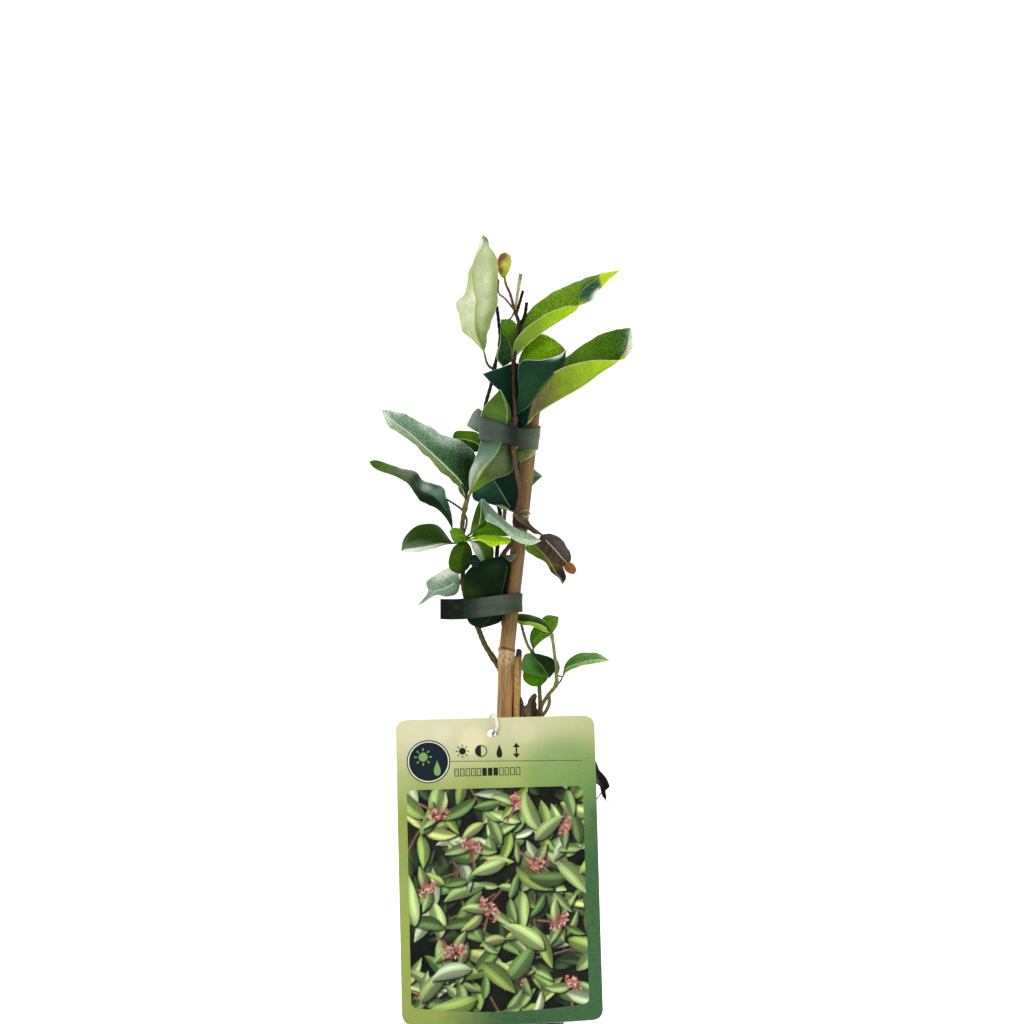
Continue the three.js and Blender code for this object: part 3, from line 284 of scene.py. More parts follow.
pot_rings = [  # half width, corner radius, height, from the base's middle outside to inside
    (4.0, 1.5, 0.0),
    (POT_FOOT - 1.9, POT_CORNER - 0.4, 0.0),
    (POT_FOOT - 0.6, POT_CORNER, 0.25),
    (POT_FOOT, POT_CORNER, 0.9),
    *[(pot_half(z), POT_CORNER, z) for z in (20.0, 45.0, 70.0)],
    (pot_half(86.8), POT_CORNER, 86.8),
    (POT_TOP + 0.1, POT_CORNER, 87.7),
    (POT_RIM - 0.5, POT_CORNER + 1.6, 88.1),
    (POT_RIM, POT_CORNER + 2, 88.7),
    (POT_RIM, POT_CORNER + 2, 94.3),
    (POT_RIM - 0.25, POT_CORNER + 1.8, 94.85),
    (POT_RIM - 0.6, POT_CORNER + 1.5, POT_HEIGHT),
    (POT_RIM - 0.95, POT_CORNER + 1.2, 94.85),
    (POT_RIM - POT_WALL, POT_CORNER + 1, 94.3),
    (POT_RIM - POT_WALL, POT_CORNER + 1, 88.6),
    (POT_TOP - POT_WALL, POT_CORNER - 1, 87.8),
    (pot_half(POT_FLOOR) - POT_WALL, POT_CORNER - 1, POT_FLOOR + 0.2),
    (pot_half(POT_FLOOR) - POT_WALL - 1, POT_CORNER - 1.5, POT_FLOOR),
    (4.0, 1.5, POT_FLOOR),
]
rings = rounded_square(*(np.array(v) for v in zip(*pot_rings)))
count = rings.shape[1]
pot_points = np.concatenate([rings.reshape(-1, 3), [[0, 0, 0], [0, 0, POT_FLOOR]]])
base = fan(len(pot_points) - 2, 0, count, turned=True)
inside_base = fan(len(pot_points) - 1, (len(pot_rings) - 1) * count, count)

plastic, put = principled("pot_plastic", Roughness=0.42)
place = node(plastic, "TexCoord", out=3)
dust = spread(plastic, noise(plastic, place, 60.0, 5.0, 0.65), 0.5, 0.75)
foot = spread(plastic, axes(plastic, place)[2], 0.03, 0.0, 0.0, 0.5)
dirt = calc(plastic, "MULTIPLY", dust, calc(plastic, "ADD", foot, 0.35))
put(Base_Color=blend(plastic, dirt, rgb("17191b"), rgb("55483a")))
put(Roughness=spread(plastic, dirt, 0.0, 0.6, 0.38, 0.85))
ripple = noise(plastic, place, 2500.0, 2.0)
put(Normal=bump(plastic, ripple, 0.25, 0.05))
walls = grid_faces(len(pot_rings), count, wrap=True)
pot = mesh_piece("pot_shell", pot_points, [walls, base, inside_base], plastic)
drill = [rounded_square(HOLE_RADIUS, HOLE_RADIUS - 0.01, z)[0] for z in (-5.0, 9.0)]
for side_x in (-1, 1):
    for side_y in (-1, 1):
        at = np.array([side_x, side_y, 0]) * HOLE_FROM_MIDDLE
        cut_hole(pot, plastic, np.concatenate(drill) + at)
pot.data.name = "pot_shell"
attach(pot, "root")
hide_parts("pot")

# ---- Potting soil -------------------------------------------------------------------
# Composted bark and wood fibre, pressed in by hand to a finger's width under the rim. It
# is a dark lumpy bed with loose crumbs of bark and a few white grains lying on it.
SOIL_TOP = 86.6
SOIL_FOOT = 20.0
SOIL_HALF = POT_TOP - POT_WALL - 0.9
seeds = np.random.default_rng(41)


def lumpy(x, y):
    """Height of the soil: a sum of waves of 6 to 30 mm, turned against each other."""
    total = np.zeros_like(x, dtype=float)
    for i in range(14):
        turn, pitch = 2.4 * i, 30.0 / (1 + 0.32 * i)
        along = x * math.cos(turn) + y * math.sin(turn)
        total += math.sqrt(pitch) * np.sin(2 * math.pi * along / pitch + 1.7 * i * i)
    return 0.075 * total


share = np.linspace(0.0, 1.0, 64)[1:, None, None]
edge = rounded_square(SOIL_HALF, POT_CORNER - 1.5, 0.0)[0][None]
bed = share * edge
bed[..., 2] = SOIL_TOP + lumpy(bed[..., 0], bed[..., 1]) - 2.5 * share[..., 0] ** 14
bed = np.concatenate([bed, edge * 0.8 + np.array([0, 0, SOIL_FOOT])])
per_ring = bed.shape[1]
bed_points = np.concatenate([bed.reshape(-1, 3), [[0, 0, SOIL_TOP], [0, 0, SOIL_FOOT]]])
bed_sides = grid_faces(len(bed), per_ring, wrap=True)[:, ::-1]
bed_top = fan(len(bed_points) - 2, 0, per_ring)
bed_foot = fan(len(bed_points) - 1, (len(bed) - 1) * per_ring, per_ring, turned=True)

compost, put = principled("potting_compost", Roughness=0.95)
place = node(compost, "TexCoord", out=3)
clods = noise(compost, place, 260.0, 6.0, 0.7)
fine = noise(compost, place, 1400.0, 4.0, 0.7)
dark = blend(compost, spread(compost, clods, 0.35, 0.65), rgb("1c130d"), rgb("4a3524"))
put(Base_Color=blend(compost, spread(compost, fine, 0.55, 0.8), dark, rgb("6e5238")))
rough_soil = calc(compost, "MULTIPLY_ADD", clods, 2.0, fine)
put(Normal=bump(compost, rough_soil, 0.9, 1.2))
soil = mesh_piece("soil_bed", bed_points, [bed_sides, bed_top, bed_foot], compost)
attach(soil, "root")
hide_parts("soil")


def stored(mat, name, vector=False):
    """What a mesh stores at each of its points under a name: a colour, or a vector."""
    return node(mat, "Attribute", out=int(vector), attribute_name=name)


CRUMBS = 900
cube = np.array([[x, y, z] for x in (-1, 1) for y in (-1, 1) for z in (-1, 1)], float)
cube_faces = np.array(
    [[0, 1, 3, 2], [4, 6, 7, 5], [0, 4, 5, 1], [2, 3, 7, 6], [0, 2, 6, 4], [1, 5, 7, 3]]
)
size = seeds.uniform(0.35, 1.0, (CRUMBS, 1, 1)) ** 1.6 * 2.1
stretch = seeds.uniform(0.35, 1.0, (CRUMBS, 1, 3)) * np.array([1.0, 1.0, 0.45])
corners = (cube + seeds.uniform(-0.45, 0.45, (CRUMBS, 8, 3))) * stretch * size * 0.6
turn = seeds.uniform(0, 2 * math.pi, (CRUMBS, 1))
spot = seeds.uniform(-1, 1, (CRUMBS, 2)) * (SOIL_HALF - 2.5)
x = corners[..., 0] * np.cos(turn) - corners[..., 1] * np.sin(turn) + spot[:, :1]
y = corners[..., 0] * np.sin(turn) + corners[..., 1] * np.cos(turn) + spot[:, 1:]
lie = SOIL_TOP + lumpy(spot[:, 0], spot[:, 1])[:, None] + 0.15
crumb_points = np.stack([x, y, corners[..., 2] + lie], axis=-1).reshape(-1, 3)
crumb_faces = (cube_faces[None] + 8 * np.arange(CRUMBS)[:, None, None]).reshape(-1, 4)
kinds = np.array([rgb(c) for c in ("2c1d13", "4d3722", "6a4d30", "8b6b45", "d8d4c8")])
pick = seeds.choice(5, CRUMBS, p=[0.34, 0.3, 0.2, 0.11, 0.05])
bark, put = principled("bark_crumb", Roughness=0.9)
tint = stored(bark, "tint")
speck = noise(bark, node(bark, "TexCoord", out=3), 2200.0, 3.0)
put(Base_Color=blend(bark, speck, tint, rgb("2a1c12")), Normal=bump(bark, speck, 0.6, 0.4))
crumb_tint = np.repeat(kinds[pick], 8, axis=0)
crumbs = mesh_piece("soil_crumbs", crumb_points, [crumb_faces], bark, smooth=False, tint=crumb_tint)
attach(crumbs, "root")
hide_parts("soil")

# ---- Bamboo cane --------------------------------------------------------------------
# A tan cane pushed slanting into the soil: smooth skin with long fibres and dark flecks,
# a raised node ring with a scar under it, and a second slant above the node.
CANE_RADIUS = 3.9
CANE_NODE = 187.0
CANE_BEND = [(-2.7, 12.0), (3.4, CANE_NODE), (19.6, 334.0)]
CANE_SIDES = 40


def curve(points, t):
    """Smooth curve through the points at shares t of the way, each span the same share.

    It is the centripetal Catmull-Rom curve: a cubic between neighbours whose slopes come
    from the points on either side, weighed by the square root of their distances.
    """
    p = np.asarray(points, float)
    p = np.concatenate([[2 * p[0] - p[1]], p, [2 * p[-1] - p[-2]]])
    spans = len(p) - 3
    at = np.clip(np.asarray(t) * spans, 0, spans)
    i = np.minimum(at.astype(int), spans - 1)
    w = (at - i)[:, None]
    gap = np.maximum(np.linalg.norm(np.diff(p, axis=0), axis=1) ** 0.5, 1e-4)[:, None]
    a, b, c, d = p[i], p[i + 1], p[i + 2], p[i + 3]
    g0, g1, g2 = gap[i], gap[i + 1], gap[i + 2]
    s0 = g1 * ((b - a) / g0 - (c - a) / (g0 + g1) + (c - b) / g1)
    s1 = g1 * ((c - b) / g1 - (d - b) / (g1 + g2) + (d - c) / g2)
    rise = c - b
    return b + s0 * w + (3 * rise - 2 * s0 - s1) * w**2 + (s0 + s1 - 2 * rise) * w**3


def distances(line):
    """How far from the line's start each of its points lies, measured along it."""
    return np.concatenate([[0.0], np.linalg.norm(np.diff(line, axis=0), axis=1).cumsum()])


def even_curve(points, steps):
    """The same curve at evenly spaced places, and their distances from its start."""
    fine_line = curve(points, np.linspace(0, 1, 40 * len(points)))
    length = distances(fine_line)
    at = np.linspace(0.0, length[-1], steps + 1)
    return np.stack([np.interp(at, length, fine_line[:, k]) for k in range(3)], -1), at


def tube(line, radii, sides, closed=False, dent=None):
    """Skin of a bar along a line: points, faces and each point's turn and place along it.

    A point lies at its radius from the line, square to it, at even turns. dent adds a
    height to each of the skin's points.
    """
    before, after = np.roll(line, 1, axis=0), np.roll(line, -1, axis=0)
    if not closed:
        before[0], after[-1] = line[0], line[-1]
    ahead = after - before
    ahead /= np.linalg.norm(ahead, axis=1, keepdims=True)
    across = np.eye(3)[np.abs(ahead).max(axis=0).argmin()]
    across = across - ahead * (ahead @ across)[:, None]
    across /= np.linalg.norm(across, axis=1, keepdims=True)
    up = np.cross(ahead, across)
    turn = np.linspace(0, 2 * math.pi, sides, endpoint=False)
    radius = np.broadcast_to(np.asarray(radii, float).reshape(-1, 1), (len(line), sides))
    if dent is not None:
        radius = radius + dent
    out = across[:, None] * np.cos(turn)[:, None] + up[:, None] * np.sin(turn)[:, None]
    skin = line[:, None] + out * radius[..., None]
    faces = [grid_faces(len(line), sides, wrap=True)]
    first_row = np.arange(sides)
    last_row = first_row + (len(line) - 1) * sides
    if closed:
        seam = [last_row, np.roll(last_row, -1), np.roll(first_row, -1), first_row]
        faces.append(np.stack(seam, axis=-1))
    else:
        faces += [first_row[None, ::-1], last_row[None]]
    place = np.broadcast_arrays(np.cos(turn)[None], np.sin(turn)[None], distances(line)[:, None])
    return skin.reshape(-1, 3), faces, np.stack(place, -1).reshape(-1, 3)


cane_z = np.concatenate(  # closer rings of points round the node
    [np.linspace(12, 178, 84), np.linspace(179, 192, 66)[:-1], np.linspace(192, 334, 72)]
)
cane_x = np.interp(cane_z, [z for _, z in CANE_BEND], [x for x, _ in CANE_BEND])
cane_line = np.stack([cane_x, np.zeros_like(cane_z), cane_z], axis=-1)
cane_radius = (
    CANE_RADIUS
    + 0.34 * np.exp(-(((cane_z - 187.1) / 0.8) ** 2))
    - 0.25 * np.exp(-(((cane_z - 185.2) / 0.6) ** 2))
    + 0.26 * np.exp(-(((cane_z - 182.6) / 0.7) ** 2))
    + 0.38 * np.exp(-(((cane_z - 182.0) / 6.0) ** 2))
    - np.interp(cane_z, [187, 189, 240, 334], [0.0, 0.1, 0.15, 0.4])
)
cane_turn = np.linspace(0, 2 * math.pi, CANE_SIDES, endpoint=False)[None]
ridges = 0.05 * np.sin(7 * cane_turn + 0.01 * cane_z[:, None]) + 0.03 * np.sin(
    17 * cane_turn + 0.02 * cane_z[:, None] + 1.0
)
points, faces, place_on = tube(cane_line, cane_radius, CANE_SIDES, dent=ridges)
place_on[:, 2] += cane_z[0]


def scaled(mat, place, x, y, z):
    """A place drawn out or pressed together along each axis."""
    return node(mat, "VectorMath", {0: place, 1: (x, y, z)}, operation="MULTIPLY")


bamboo, put = principled("bamboo_skin", Roughness=0.45)
spot = stored(bamboo, "place", vector=True)
stretched = scaled(bamboo, spot, 1.0, 1.0, 0.012)
fibres = noise(bamboo, stretched, 14.0, 6.0, 0.65)
streaks = noise(bamboo, stretched, 4.0, 3.0, 0.55)
colour = blend(bamboo, spread(bamboo, streaks, 0.3, 0.7), rgb("7a5a32"), rgb("b08c54"))
colour = blend(bamboo, spread(bamboo, fibres, 0.45, 0.7, 0.0, 0.6), colour, rgb("b89664"))
_, sideways, height = axes(bamboo, spot)
# Painted shade: above the node the left side of the cane is painted darker, where the stem and leaves
# beside it shade it.
left_in_shade = spread(bamboo, sideways, -0.1, 1.0, 0.0, 0.75)
shaded = calc(bamboo, "MULTIPLY", left_in_shade, spread(bamboo, height, 188.0, 206.0))
colour = blend(bamboo, shaded, colour, rgb("3c2a18"))
colour = blend(bamboo, spread(bamboo, height, 184.0, 202.0, 0.0, 0.66), colour, rgb("503a20"))
# Painted shade: the cane is painted a little darker between about 176 and 220 mm high, fading out by 232
# mm, where the twigs shade it.
under_twigs = spread(bamboo, height, 232.0, 220.0, 0.0, 0.1)
shade_under_twigs = calc(bamboo, "MULTIPLY", under_twigs, spread(bamboo, height, 166.0, 176.0))
colour = blend(bamboo, shade_under_twigs, colour, rgb("3c2a18"))
for squeeze, scale, low, high, share, code in (
    (0.09, 7.0, 0.62, 0.7, 0.8, "4d3318"),
    (0.5, 3.5, 0.64, 0.7, 0.6, "3a2818"),
    (0.3, 2.2, 0.62, 0.72, 0.5, "dcc494"),
):
    marks = noise(bamboo, scaled(bamboo, spot, 1.0, 1.0, squeeze), scale, 4.0, 0.7)
    colour = blend(bamboo, spread(bamboo, marks, low, high, 0.0, share), colour, rgb(code))
ragged = calc(bamboo, "MULTIPLY_ADD", noise(bamboo, spot, 1.4, 3.0), 1.6, height)
ragged = calc(bamboo, "MULTIPLY_ADD", sideways, -0.7, ragged)
from_node = calc(bamboo, "ABSOLUTE", calc(bamboo, "SUBTRACT", ragged, CANE_NODE + 1.6))
from_middle = calc(bamboo, "ABSOLUTE", calc(bamboo, "ADD", sideways, 0.1))
ring_mark = spread(bamboo, from_node, 0.9, 0.3, 0.0, 0.9)
scar = calc(bamboo, "MULTIPLY", ring_mark, spread(bamboo, from_middle, 0.9, 0.7))
colour = blend(bamboo, scar, colour, rgb("5a1c10"))
below = spread(bamboo, height, CANE_NODE - 9.0, CANE_NODE - 4.0, 0.0, 0.4)
above = spread(bamboo, height, CANE_NODE - 1.0, CANE_NODE + 1.0, 1.0, 0.0)
crust = noise(bamboo, scaled(bamboo, spot, 1.0, 1.0, 0.3), 3.5, 4.0, 0.7)
near_node = calc(bamboo, "MULTIPLY", below, above)
pale = calc(bamboo, "MULTIPLY", near_node, spread(bamboo, crust, 0.42, 0.56))
colour = blend(bamboo, pale, colour, rgb("e6d3a8"))
flecks = calc(bamboo, "MULTIPLY", near_node, spread(bamboo, crust, 0.38, 0.32))
colour = blend(bamboo, flecks, colour, rgb("5c4424"))
put(Base_Color=colour, Roughness=spread(bamboo, fibres, 0.3, 0.7, 0.38, 0.58))
put(Normal=bump(bamboo, fibres, 0.45, 0.25), Specular_IOR_Level=0.2)
cane = mesh_piece("cane_skin", points, faces, bamboo, place=place_on)
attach(cane, "root")
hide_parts("bamboo_cane")

# ---- Front shoot --------------------------------------------------------------------
# The stem in front of the cane with its twigs, bud and leaves: green wood that browns
# with age, and soft opposite leaves, dark and glossy above and paler under, their edges
# and midribs pale. All of it grows from the soil as one stem.
ARCH = 0.07
BLADE_HALF = 0.11
LEAF_SPECULAR = 0.03


def shades(codes, share):
    """Screen colours evenly spaced from 0 to 1, read at shares of the way, made linear."""
    listed = np.array([[int(c[i : i + 2], 16) / 255 for i in (0, 2, 4)] for c in codes.split()])
    at = np.linspace(0, 1, len(listed))
    mixed = np.stack([np.interp(share, at, listed[:, k]) for k in range(3)], axis=-1)
    mixed = np.where(mixed <= 0.04045, mixed / 12.92, ((mixed + 0.055) / 1.055) ** 2.4)
    return np.concatenate([mixed, np.ones((*mixed.shape[:-1], 1))], axis=-1)


def edge_loop(rows, columns):
    """Vertex numbers round the edge of a grid of them, and the next one after each."""
    ids = np.arange(rows * columns).reshape(rows, columns)
    loop = np.concatenate([ids[0], ids[1:, -1], ids[-1, -2::-1], ids[-2:0:-1, 0]])
    return loop, np.roll(loop, -1)


def blade(sections, left, right, rim="c8d2b4", edge=0.35, rib="b4c48c", under=None, gloss=0.5,
          veins=0.4, mottle=0.5, patches=(), waves=0.35, arch=ARCH, seed=0):
    """A fine leaf blade through its sections, as points, faces and attributes.

    Three smooth curves run through the left edges, the ribs and the right edges. Each half
    is straight across from rib to edge, plus an arch of 7 % of its width, plus waves of
    a few tenths of a millimetre that grow towards the edge. left and right colour the side
    of each half that faces the front; the other side is a mix of it and a plain leaf green.
    """
    chance = np.random.default_rng(seed + 7)
    lines = [[s[0] if len(s) == 1 else s[k] for s in sections] for k in range(3)]
    length = distances(curve(lines[1], np.linspace(0, 1, 60)))[-1]
    rows = int(np.clip(length / 0.75, 14, 72))
    v = np.linspace(0.004, 0.996, rows)
    low, rib_line, high = (curve(line, v) for line in lines)
    wide = max(np.linalg.norm(line - rib_line, axis=1).max() for line in (low, high))
    half = int(np.clip(wide / 0.6, 5, 18))
    share = np.linspace(0, 1, half + 1) ** 1.25
    u = np.concatenate([-share[:0:-1], share])
    s = np.abs(u)[None, :, None]
    ahead = np.gradient(rib_line, axis=0)
    ahead /= np.linalg.norm(ahead, axis=1, keepdims=True)
    along = distances(rib_line)

    def side(edge, sign):
        """Width of one half, the way its front faces, and its size, row by row."""
        width = edge - rib_line
        out = np.cross(ahead, width) * -sign
        size = np.linalg.norm(width, axis=1, keepdims=True)
        return width, out / np.maximum(np.linalg.norm(out, axis=1, keepdims=True), 1e-9), size

    is_left = (u < 0)[None, :, None]
    halves = zip(side(low, -1), side(high, 1))
    width, out, size = (np.where(is_left, a[:, None], b[:, None]) for a, b in halves)
    ripple = np.zeros((rows, len(u)))
    for pitch, part in ((11.0, 0.6), (6.5, 0.3), (3.7, 0.14)):
        for sign in (-1, 1):
            shift = chance.uniform(0, 6.28)
            wave = part * np.sin(2 * math.pi * along / pitch + shift)
            ripple += wave[:, None] * (np.sign(u) == sign)[None]
    rise = arch * size * 4 * s * (1 - s) + waves * np.minimum(size / 6, 1) * ripple[..., None] * s**2
    rise -= 0.16 * np.exp(-((s * size / 0.5) ** 2)) * (1 - v[:, None, None])
    middle = rib_line[:, None] + width * s + out * rise

    normal = np.cross(np.gradient(middle, axis=1), np.gradient(middle, axis=0))
    normal /= np.maximum(np.linalg.norm(normal, axis=-1, keepdims=True), 1e-9)
    thick = BLADE_HALF * (1 - 0.55 * s**6)
    keel = 0.34 * np.exp(-((s * size / 0.42) ** 2)) * (1 - 0.8 * v[:, None, None])
    skins = [middle + normal * thick, middle - normal * (thick + keel)]
    points = np.concatenate([skin.reshape(-1, 3) for skin in skins])
    columns = len(u)
    per_face = rows * columns
    loop, after = edge_loop(rows, columns)
    border = np.stack([loop, after, after + per_face, loop + per_face], axis=-1)
    faces = [grid_faces(rows, columns)[:, ::-1], grid_faces(rows, columns, per_face), border]

    on_right = np.clip(0.5 + u * 6, 0, 1)[None, :, None]
    # The left and right stops and the patches over them give the leaf's own colours and, on many leaves,
    # painted light as well: light shining through, painted shade, painted highlights and sheen.
    seen = shades(left, v)[:, None] * (1 - on_right) + shades(right, v)[:, None] * on_right
    for at_u, at_v, wide_u, wide_v, code, strength in patches:
        spot = ((u[None] - at_u) / wide_u) ** 2 + ((v[:, None] - at_v) / wide_v) ** 2
        spot = np.clip(strength * np.exp(-(spot**1.6)), 0, 1)
        seen += spot[..., None] * (shades(code + " " + code, np.zeros(1))[0] - seen)
    plain_up = seen * 0.45 + 0.55 * np.array(rgb("2f5223"))
    plain_under = seen * 0.45 + 0.55 * np.array(rgb("7f9268"))
    if under:
        plain_up = plain_under = np.broadcast_to(np.array(rgb(under)), seen.shape)
    faces_front = normal[..., 1:2] < 0
    upper = np.where(faces_front, seen, plain_up)
    lower = np.where(faces_front, plain_under, seen)
    tint = np.concatenate([upper.reshape(-1, 4), lower.reshape(-1, 4)])

    def table(*columns_of):
        """Values that hold for each point of one skin, side by side."""
        full = [np.broadcast_to(value, (rows, columns)) for value in columns_of]
        return np.stack(full, -1).reshape(per_face, -1)

    edge_strength = np.interp(v, np.linspace(0, 1, np.size(edge)), np.atleast_1d(edge))[:, None]
    edge_gap = size[..., 0] * (1 - s[..., 0])
    mottled = np.where(u < 0, *np.broadcast_to(mottle, 2))
    pitch = np.clip(wide * 0.5, 1.4, 5.2)
    return points, faces, {
        "tint": tint,
        "rim": np.tile(table(*rgb(rim)[:3], edge_strength), (2, 1)),
        "rib": np.broadcast_to(np.array(rgb(rib)), (2 * per_face, 4)),
        "leaf": np.tile(table(u * size[..., 0], along[:, None], edge_gap), (2, 1)),
        "shape": np.concatenate([table(face, v[:, None], pitch) for face in (1, -1)]),
        "traits": np.tile(table(gloss, veins, mottled), (2, 1)),
    }


def leaf_skin(name, light="c3d68c", sheen=1.0):
    """Leaf material: tint with mottling, pale midrib, curved side veins, net and margin."""
    mat, put = principled(name)
    position = node(mat, "TexCoord", out=3)
    tint, rim, rib = (stored(mat, name) for name in ("tint", "rim", "rib"))
    edge = node(mat, "Attribute", out=3, attribute_name="rim")
    across, along, edge_gap = axes(mat, stored(mat, "leaf", vector=True))
    face, v, pitch = axes(mat, stored(mat, "shape", vector=True))
    gloss, veins, mottle = axes(mat, stored(mat, "traits", vector=True))
    across = calc(mat, "ABSOLUTE", across)
    wobble = calc(mat, "SUBTRACT", noise(mat, position, 260.0, 2.0), 0.5)
    count = calc(mat, "DIVIDE", calc(mat, "MULTIPLY_ADD", across, -0.85, along), pitch)
    count = calc(mat, "FRACT", calc(mat, "MULTIPLY_ADD", wobble, 0.5, count))
    off = calc(mat, "MULTIPLY", calc(mat, "ABSOLUTE", calc(mat, "SUBTRACT", count, 0.5)), pitch)
    side_vein = calc(mat, "MULTIPLY", spread(mat, off, 0.04, 0.3, 1.0, 0.0), veins)
    narrow = calc(mat, "MULTIPLY_ADD", v, -0.3, 0.5)
    midrib = spread(mat, calc(mat, "DIVIDE", across, narrow), 0.35, 1.1, 1.0, 0.0)
    net = mat.node_tree.nodes.new("ShaderNodeTexVoronoi")
    net.feature = "DISTANCE_TO_EDGE"
    net.inputs["Scale"].default_value = 760.0
    link(mat, net.inputs["Vector"], position)
    mesh_lines = spread(mat, net.outputs["Distance"], 0.0, 0.1, 1.0, 0.0)
    cloud = noise(mat, position, 1300.0, 4.0, 0.7)
    broad = noise(mat, position, 130.0, 3.0, 0.6)
    darker = blend(mat, 1.0, tint, rgb("8c9c78"), "MULTIPLY")
    lighter = blend(mat, 1.0, tint, (2.0, 1.8, 1.6, 1.0), "MULTIPLY")
    lighter = blend(mat, 0.05, lighter, rgb(light))
    speckle = calc(mat, "MULTIPLY", spread(mat, cloud, 0.5, 0.66), mottle)
    shadow = calc(mat, "MULTIPLY", spread(mat, cloud, 0.52, 0.36, 0.0, 0.9), mottle)
    colour = blend(mat, speckle, tint, lighter)
    colour = blend(mat, shadow, colour, darker)
    colour = blend(mat, spread(mat, broad, 0.35, 0.65, 0.25, 0.0), colour, darker)
    lines = calc(mat, "MULTIPLY", mesh_lines, calc(mat, "MULTIPLY", mottle, 0.2))
    colour = blend(mat, lines, colour, lighter)
    colour = blend(mat, calc(mat, "MULTIPLY", side_vein, 0.34), colour, rib)
    colour = blend(mat, calc(mat, "MULTIPLY", midrib, 0.7), colour, rib)
    margin = calc(mat, "MULTIPLY", spread(mat, edge_gap, 0.08, 0.4, 1.0, 0.0), edge)
    margin = calc(mat, "MULTIPLY", margin, spread(mat, v, 0.0, 0.1))
    colour = blend(mat, margin, colour, rim)
    rough = spread(mat, face, -1.0, 1.0, 0.68, 0.68 - 0.14 * sheen)
    rough = calc(mat, "MULTIPLY_ADD", gloss, -0.32, rough)
    rough = calc(mat, "MULTIPLY_ADD", cloud, 0.16, rough)
    vein = calc(mat, "MAXIMUM", side_vein, midrib)
    raised = calc(mat, "MULTIPLY", vein, calc(mat, "MULTIPLY", face, -1.0))
    raised = calc(mat, "MULTIPLY_ADD", cloud, 0.5, raised)
    relief = calc(mat, "MULTIPLY_ADD", mesh_lines, -0.3, raised)
    put(Base_Color=colour, Roughness=rough, Normal=bump(mat, relief, 0.55, 0.16))
    put(Specular_IOR_Level=LEAF_SPECULAR)
    return mat


def stem_skin(name, deep="8c8478"):
    """Stem material: the tint with long fibres, dark flecks and a faint sheen."""
    mat, put = principled(name)
    tint, spot = stored(mat, "tint"), stored(mat, "place", vector=True)
    fibres = noise(mat, scaled(mat, spot, 1.0, 1.0, 0.1), 5.0, 5.0, 0.65)
    flecks = noise(mat, spot, 2.2, 4.0, 0.7)
    darker = blend(mat, 1.0, tint, rgb(deep), "MULTIPLY")
    lighter = blend(mat, 0.25, tint, rgb("e0c8b0"))
    colour = blend(mat, spread(mat, fibres, 0.35, 0.65), darker, tint)
    colour = blend(mat, spread(mat, fibres, 0.6, 0.75, 0.0, 0.6), colour, lighter)
    colour = blend(mat, spread(mat, flecks, 0.64, 0.72, 0.0, 0.6), colour, rgb("2c1c14"))
    put(Base_Color=colour, Roughness=spread(mat, fibres, 0.3, 0.7, 0.42, 0.62))
    put(Normal=bump(mat, calc(mat, "ADD", fibres, flecks), 0.5, 0.2))
    put(Specular_IOR_Level=LEAF_SPECULAR)
    return mat


def leaf_table(text):
    """Sections of a leaf, one a row: its tip, or its left edge, its rib and its right edge."""
    rows = [row.split(",") for row in text.strip().splitlines()]
    return [[tuple(float(value) for value in point.split()) for point in row] for row in rows]


LEAF_SKIN = leaf_skin("leaf_blade")
STEM_SKIN = stem_skin("vine_stem")


class Shoot:
    """Gathers the blades and stems of one shoot and hangs them in the scene."""

    def __init__(self):
        self.blades, self.stems = [], []

    def leaf(self, sections, stalk=(), radius=0.75, stalk_colours=None, **paint):
        """A blade, and a stalk to its foot by way of the given points."""
        self.blades.append(blade(sections, seed=len(self.blades), **paint))
        if stalk:
            rib = [s[0] if len(s) == 1 else s[1] for s in sections]
            route = [*stalk, *sections[0], *curve(rib, np.array([0.07, 0.15]))]
            colours = stalk_colours or paint["left"].split()[0] + " " + paint["right"].split()[0]
            self.stem(route, radius, 0.26, colours)

    def stem(self, route, start, end, colours, knots=(), sides=10, swell=0.4):
        """A tapering stem, its radius even from start to end plus a swelling at each knot."""
        length = distances(np.array(route, float))[-1]
        line, along = even_curve(route, max(6, int(length / 0.8)))
        share = along / along[-1]
        radii = start + (end - start) * share
        for knot in knots:
            gap = np.linalg.norm(line - np.array(knot), axis=1)
            radii = radii + swell * np.exp(-((gap / 1.5) ** 2))
        wrinkle = 0.05 * start * np.sin(1.9 * along + 0.7) + 0.03 * start * np.sin(4.3 * along)
        points, faces, place = tube(line, radii + wrinkle, sides)
        tint = np.repeat(shades(colours, share), sides, axis=0)
        self.stems.append((points, faces, {"tint": tint, "place": place}))

    def build(self, name, cad_node, leaf_mat=None):
        """Joins the blades into one piece and the stems into another."""
        for kind, parts, mat in (
            ("leaves", self.blades, leaf_mat or LEAF_SKIN),
            ("stems", self.stems, STEM_SKIN),
        ):
            if not parts:
                continue
            starts = np.cumsum([0] + [len(points) for points, _, _ in parts])
            faces = [f + start for (_, fs, _), start in zip(parts, starts) for f in fs]
            keys = parts[0][2].keys()
            attributes = {key: np.concatenate([a[key] for _, _, a in parts]) for key in keys}
            points = np.concatenate([points for points, _, _ in parts])
            obj = mesh_piece(name + "_" + kind, points, faces, mat, **attributes)
            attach(obj, "root")
            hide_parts(cad_node)


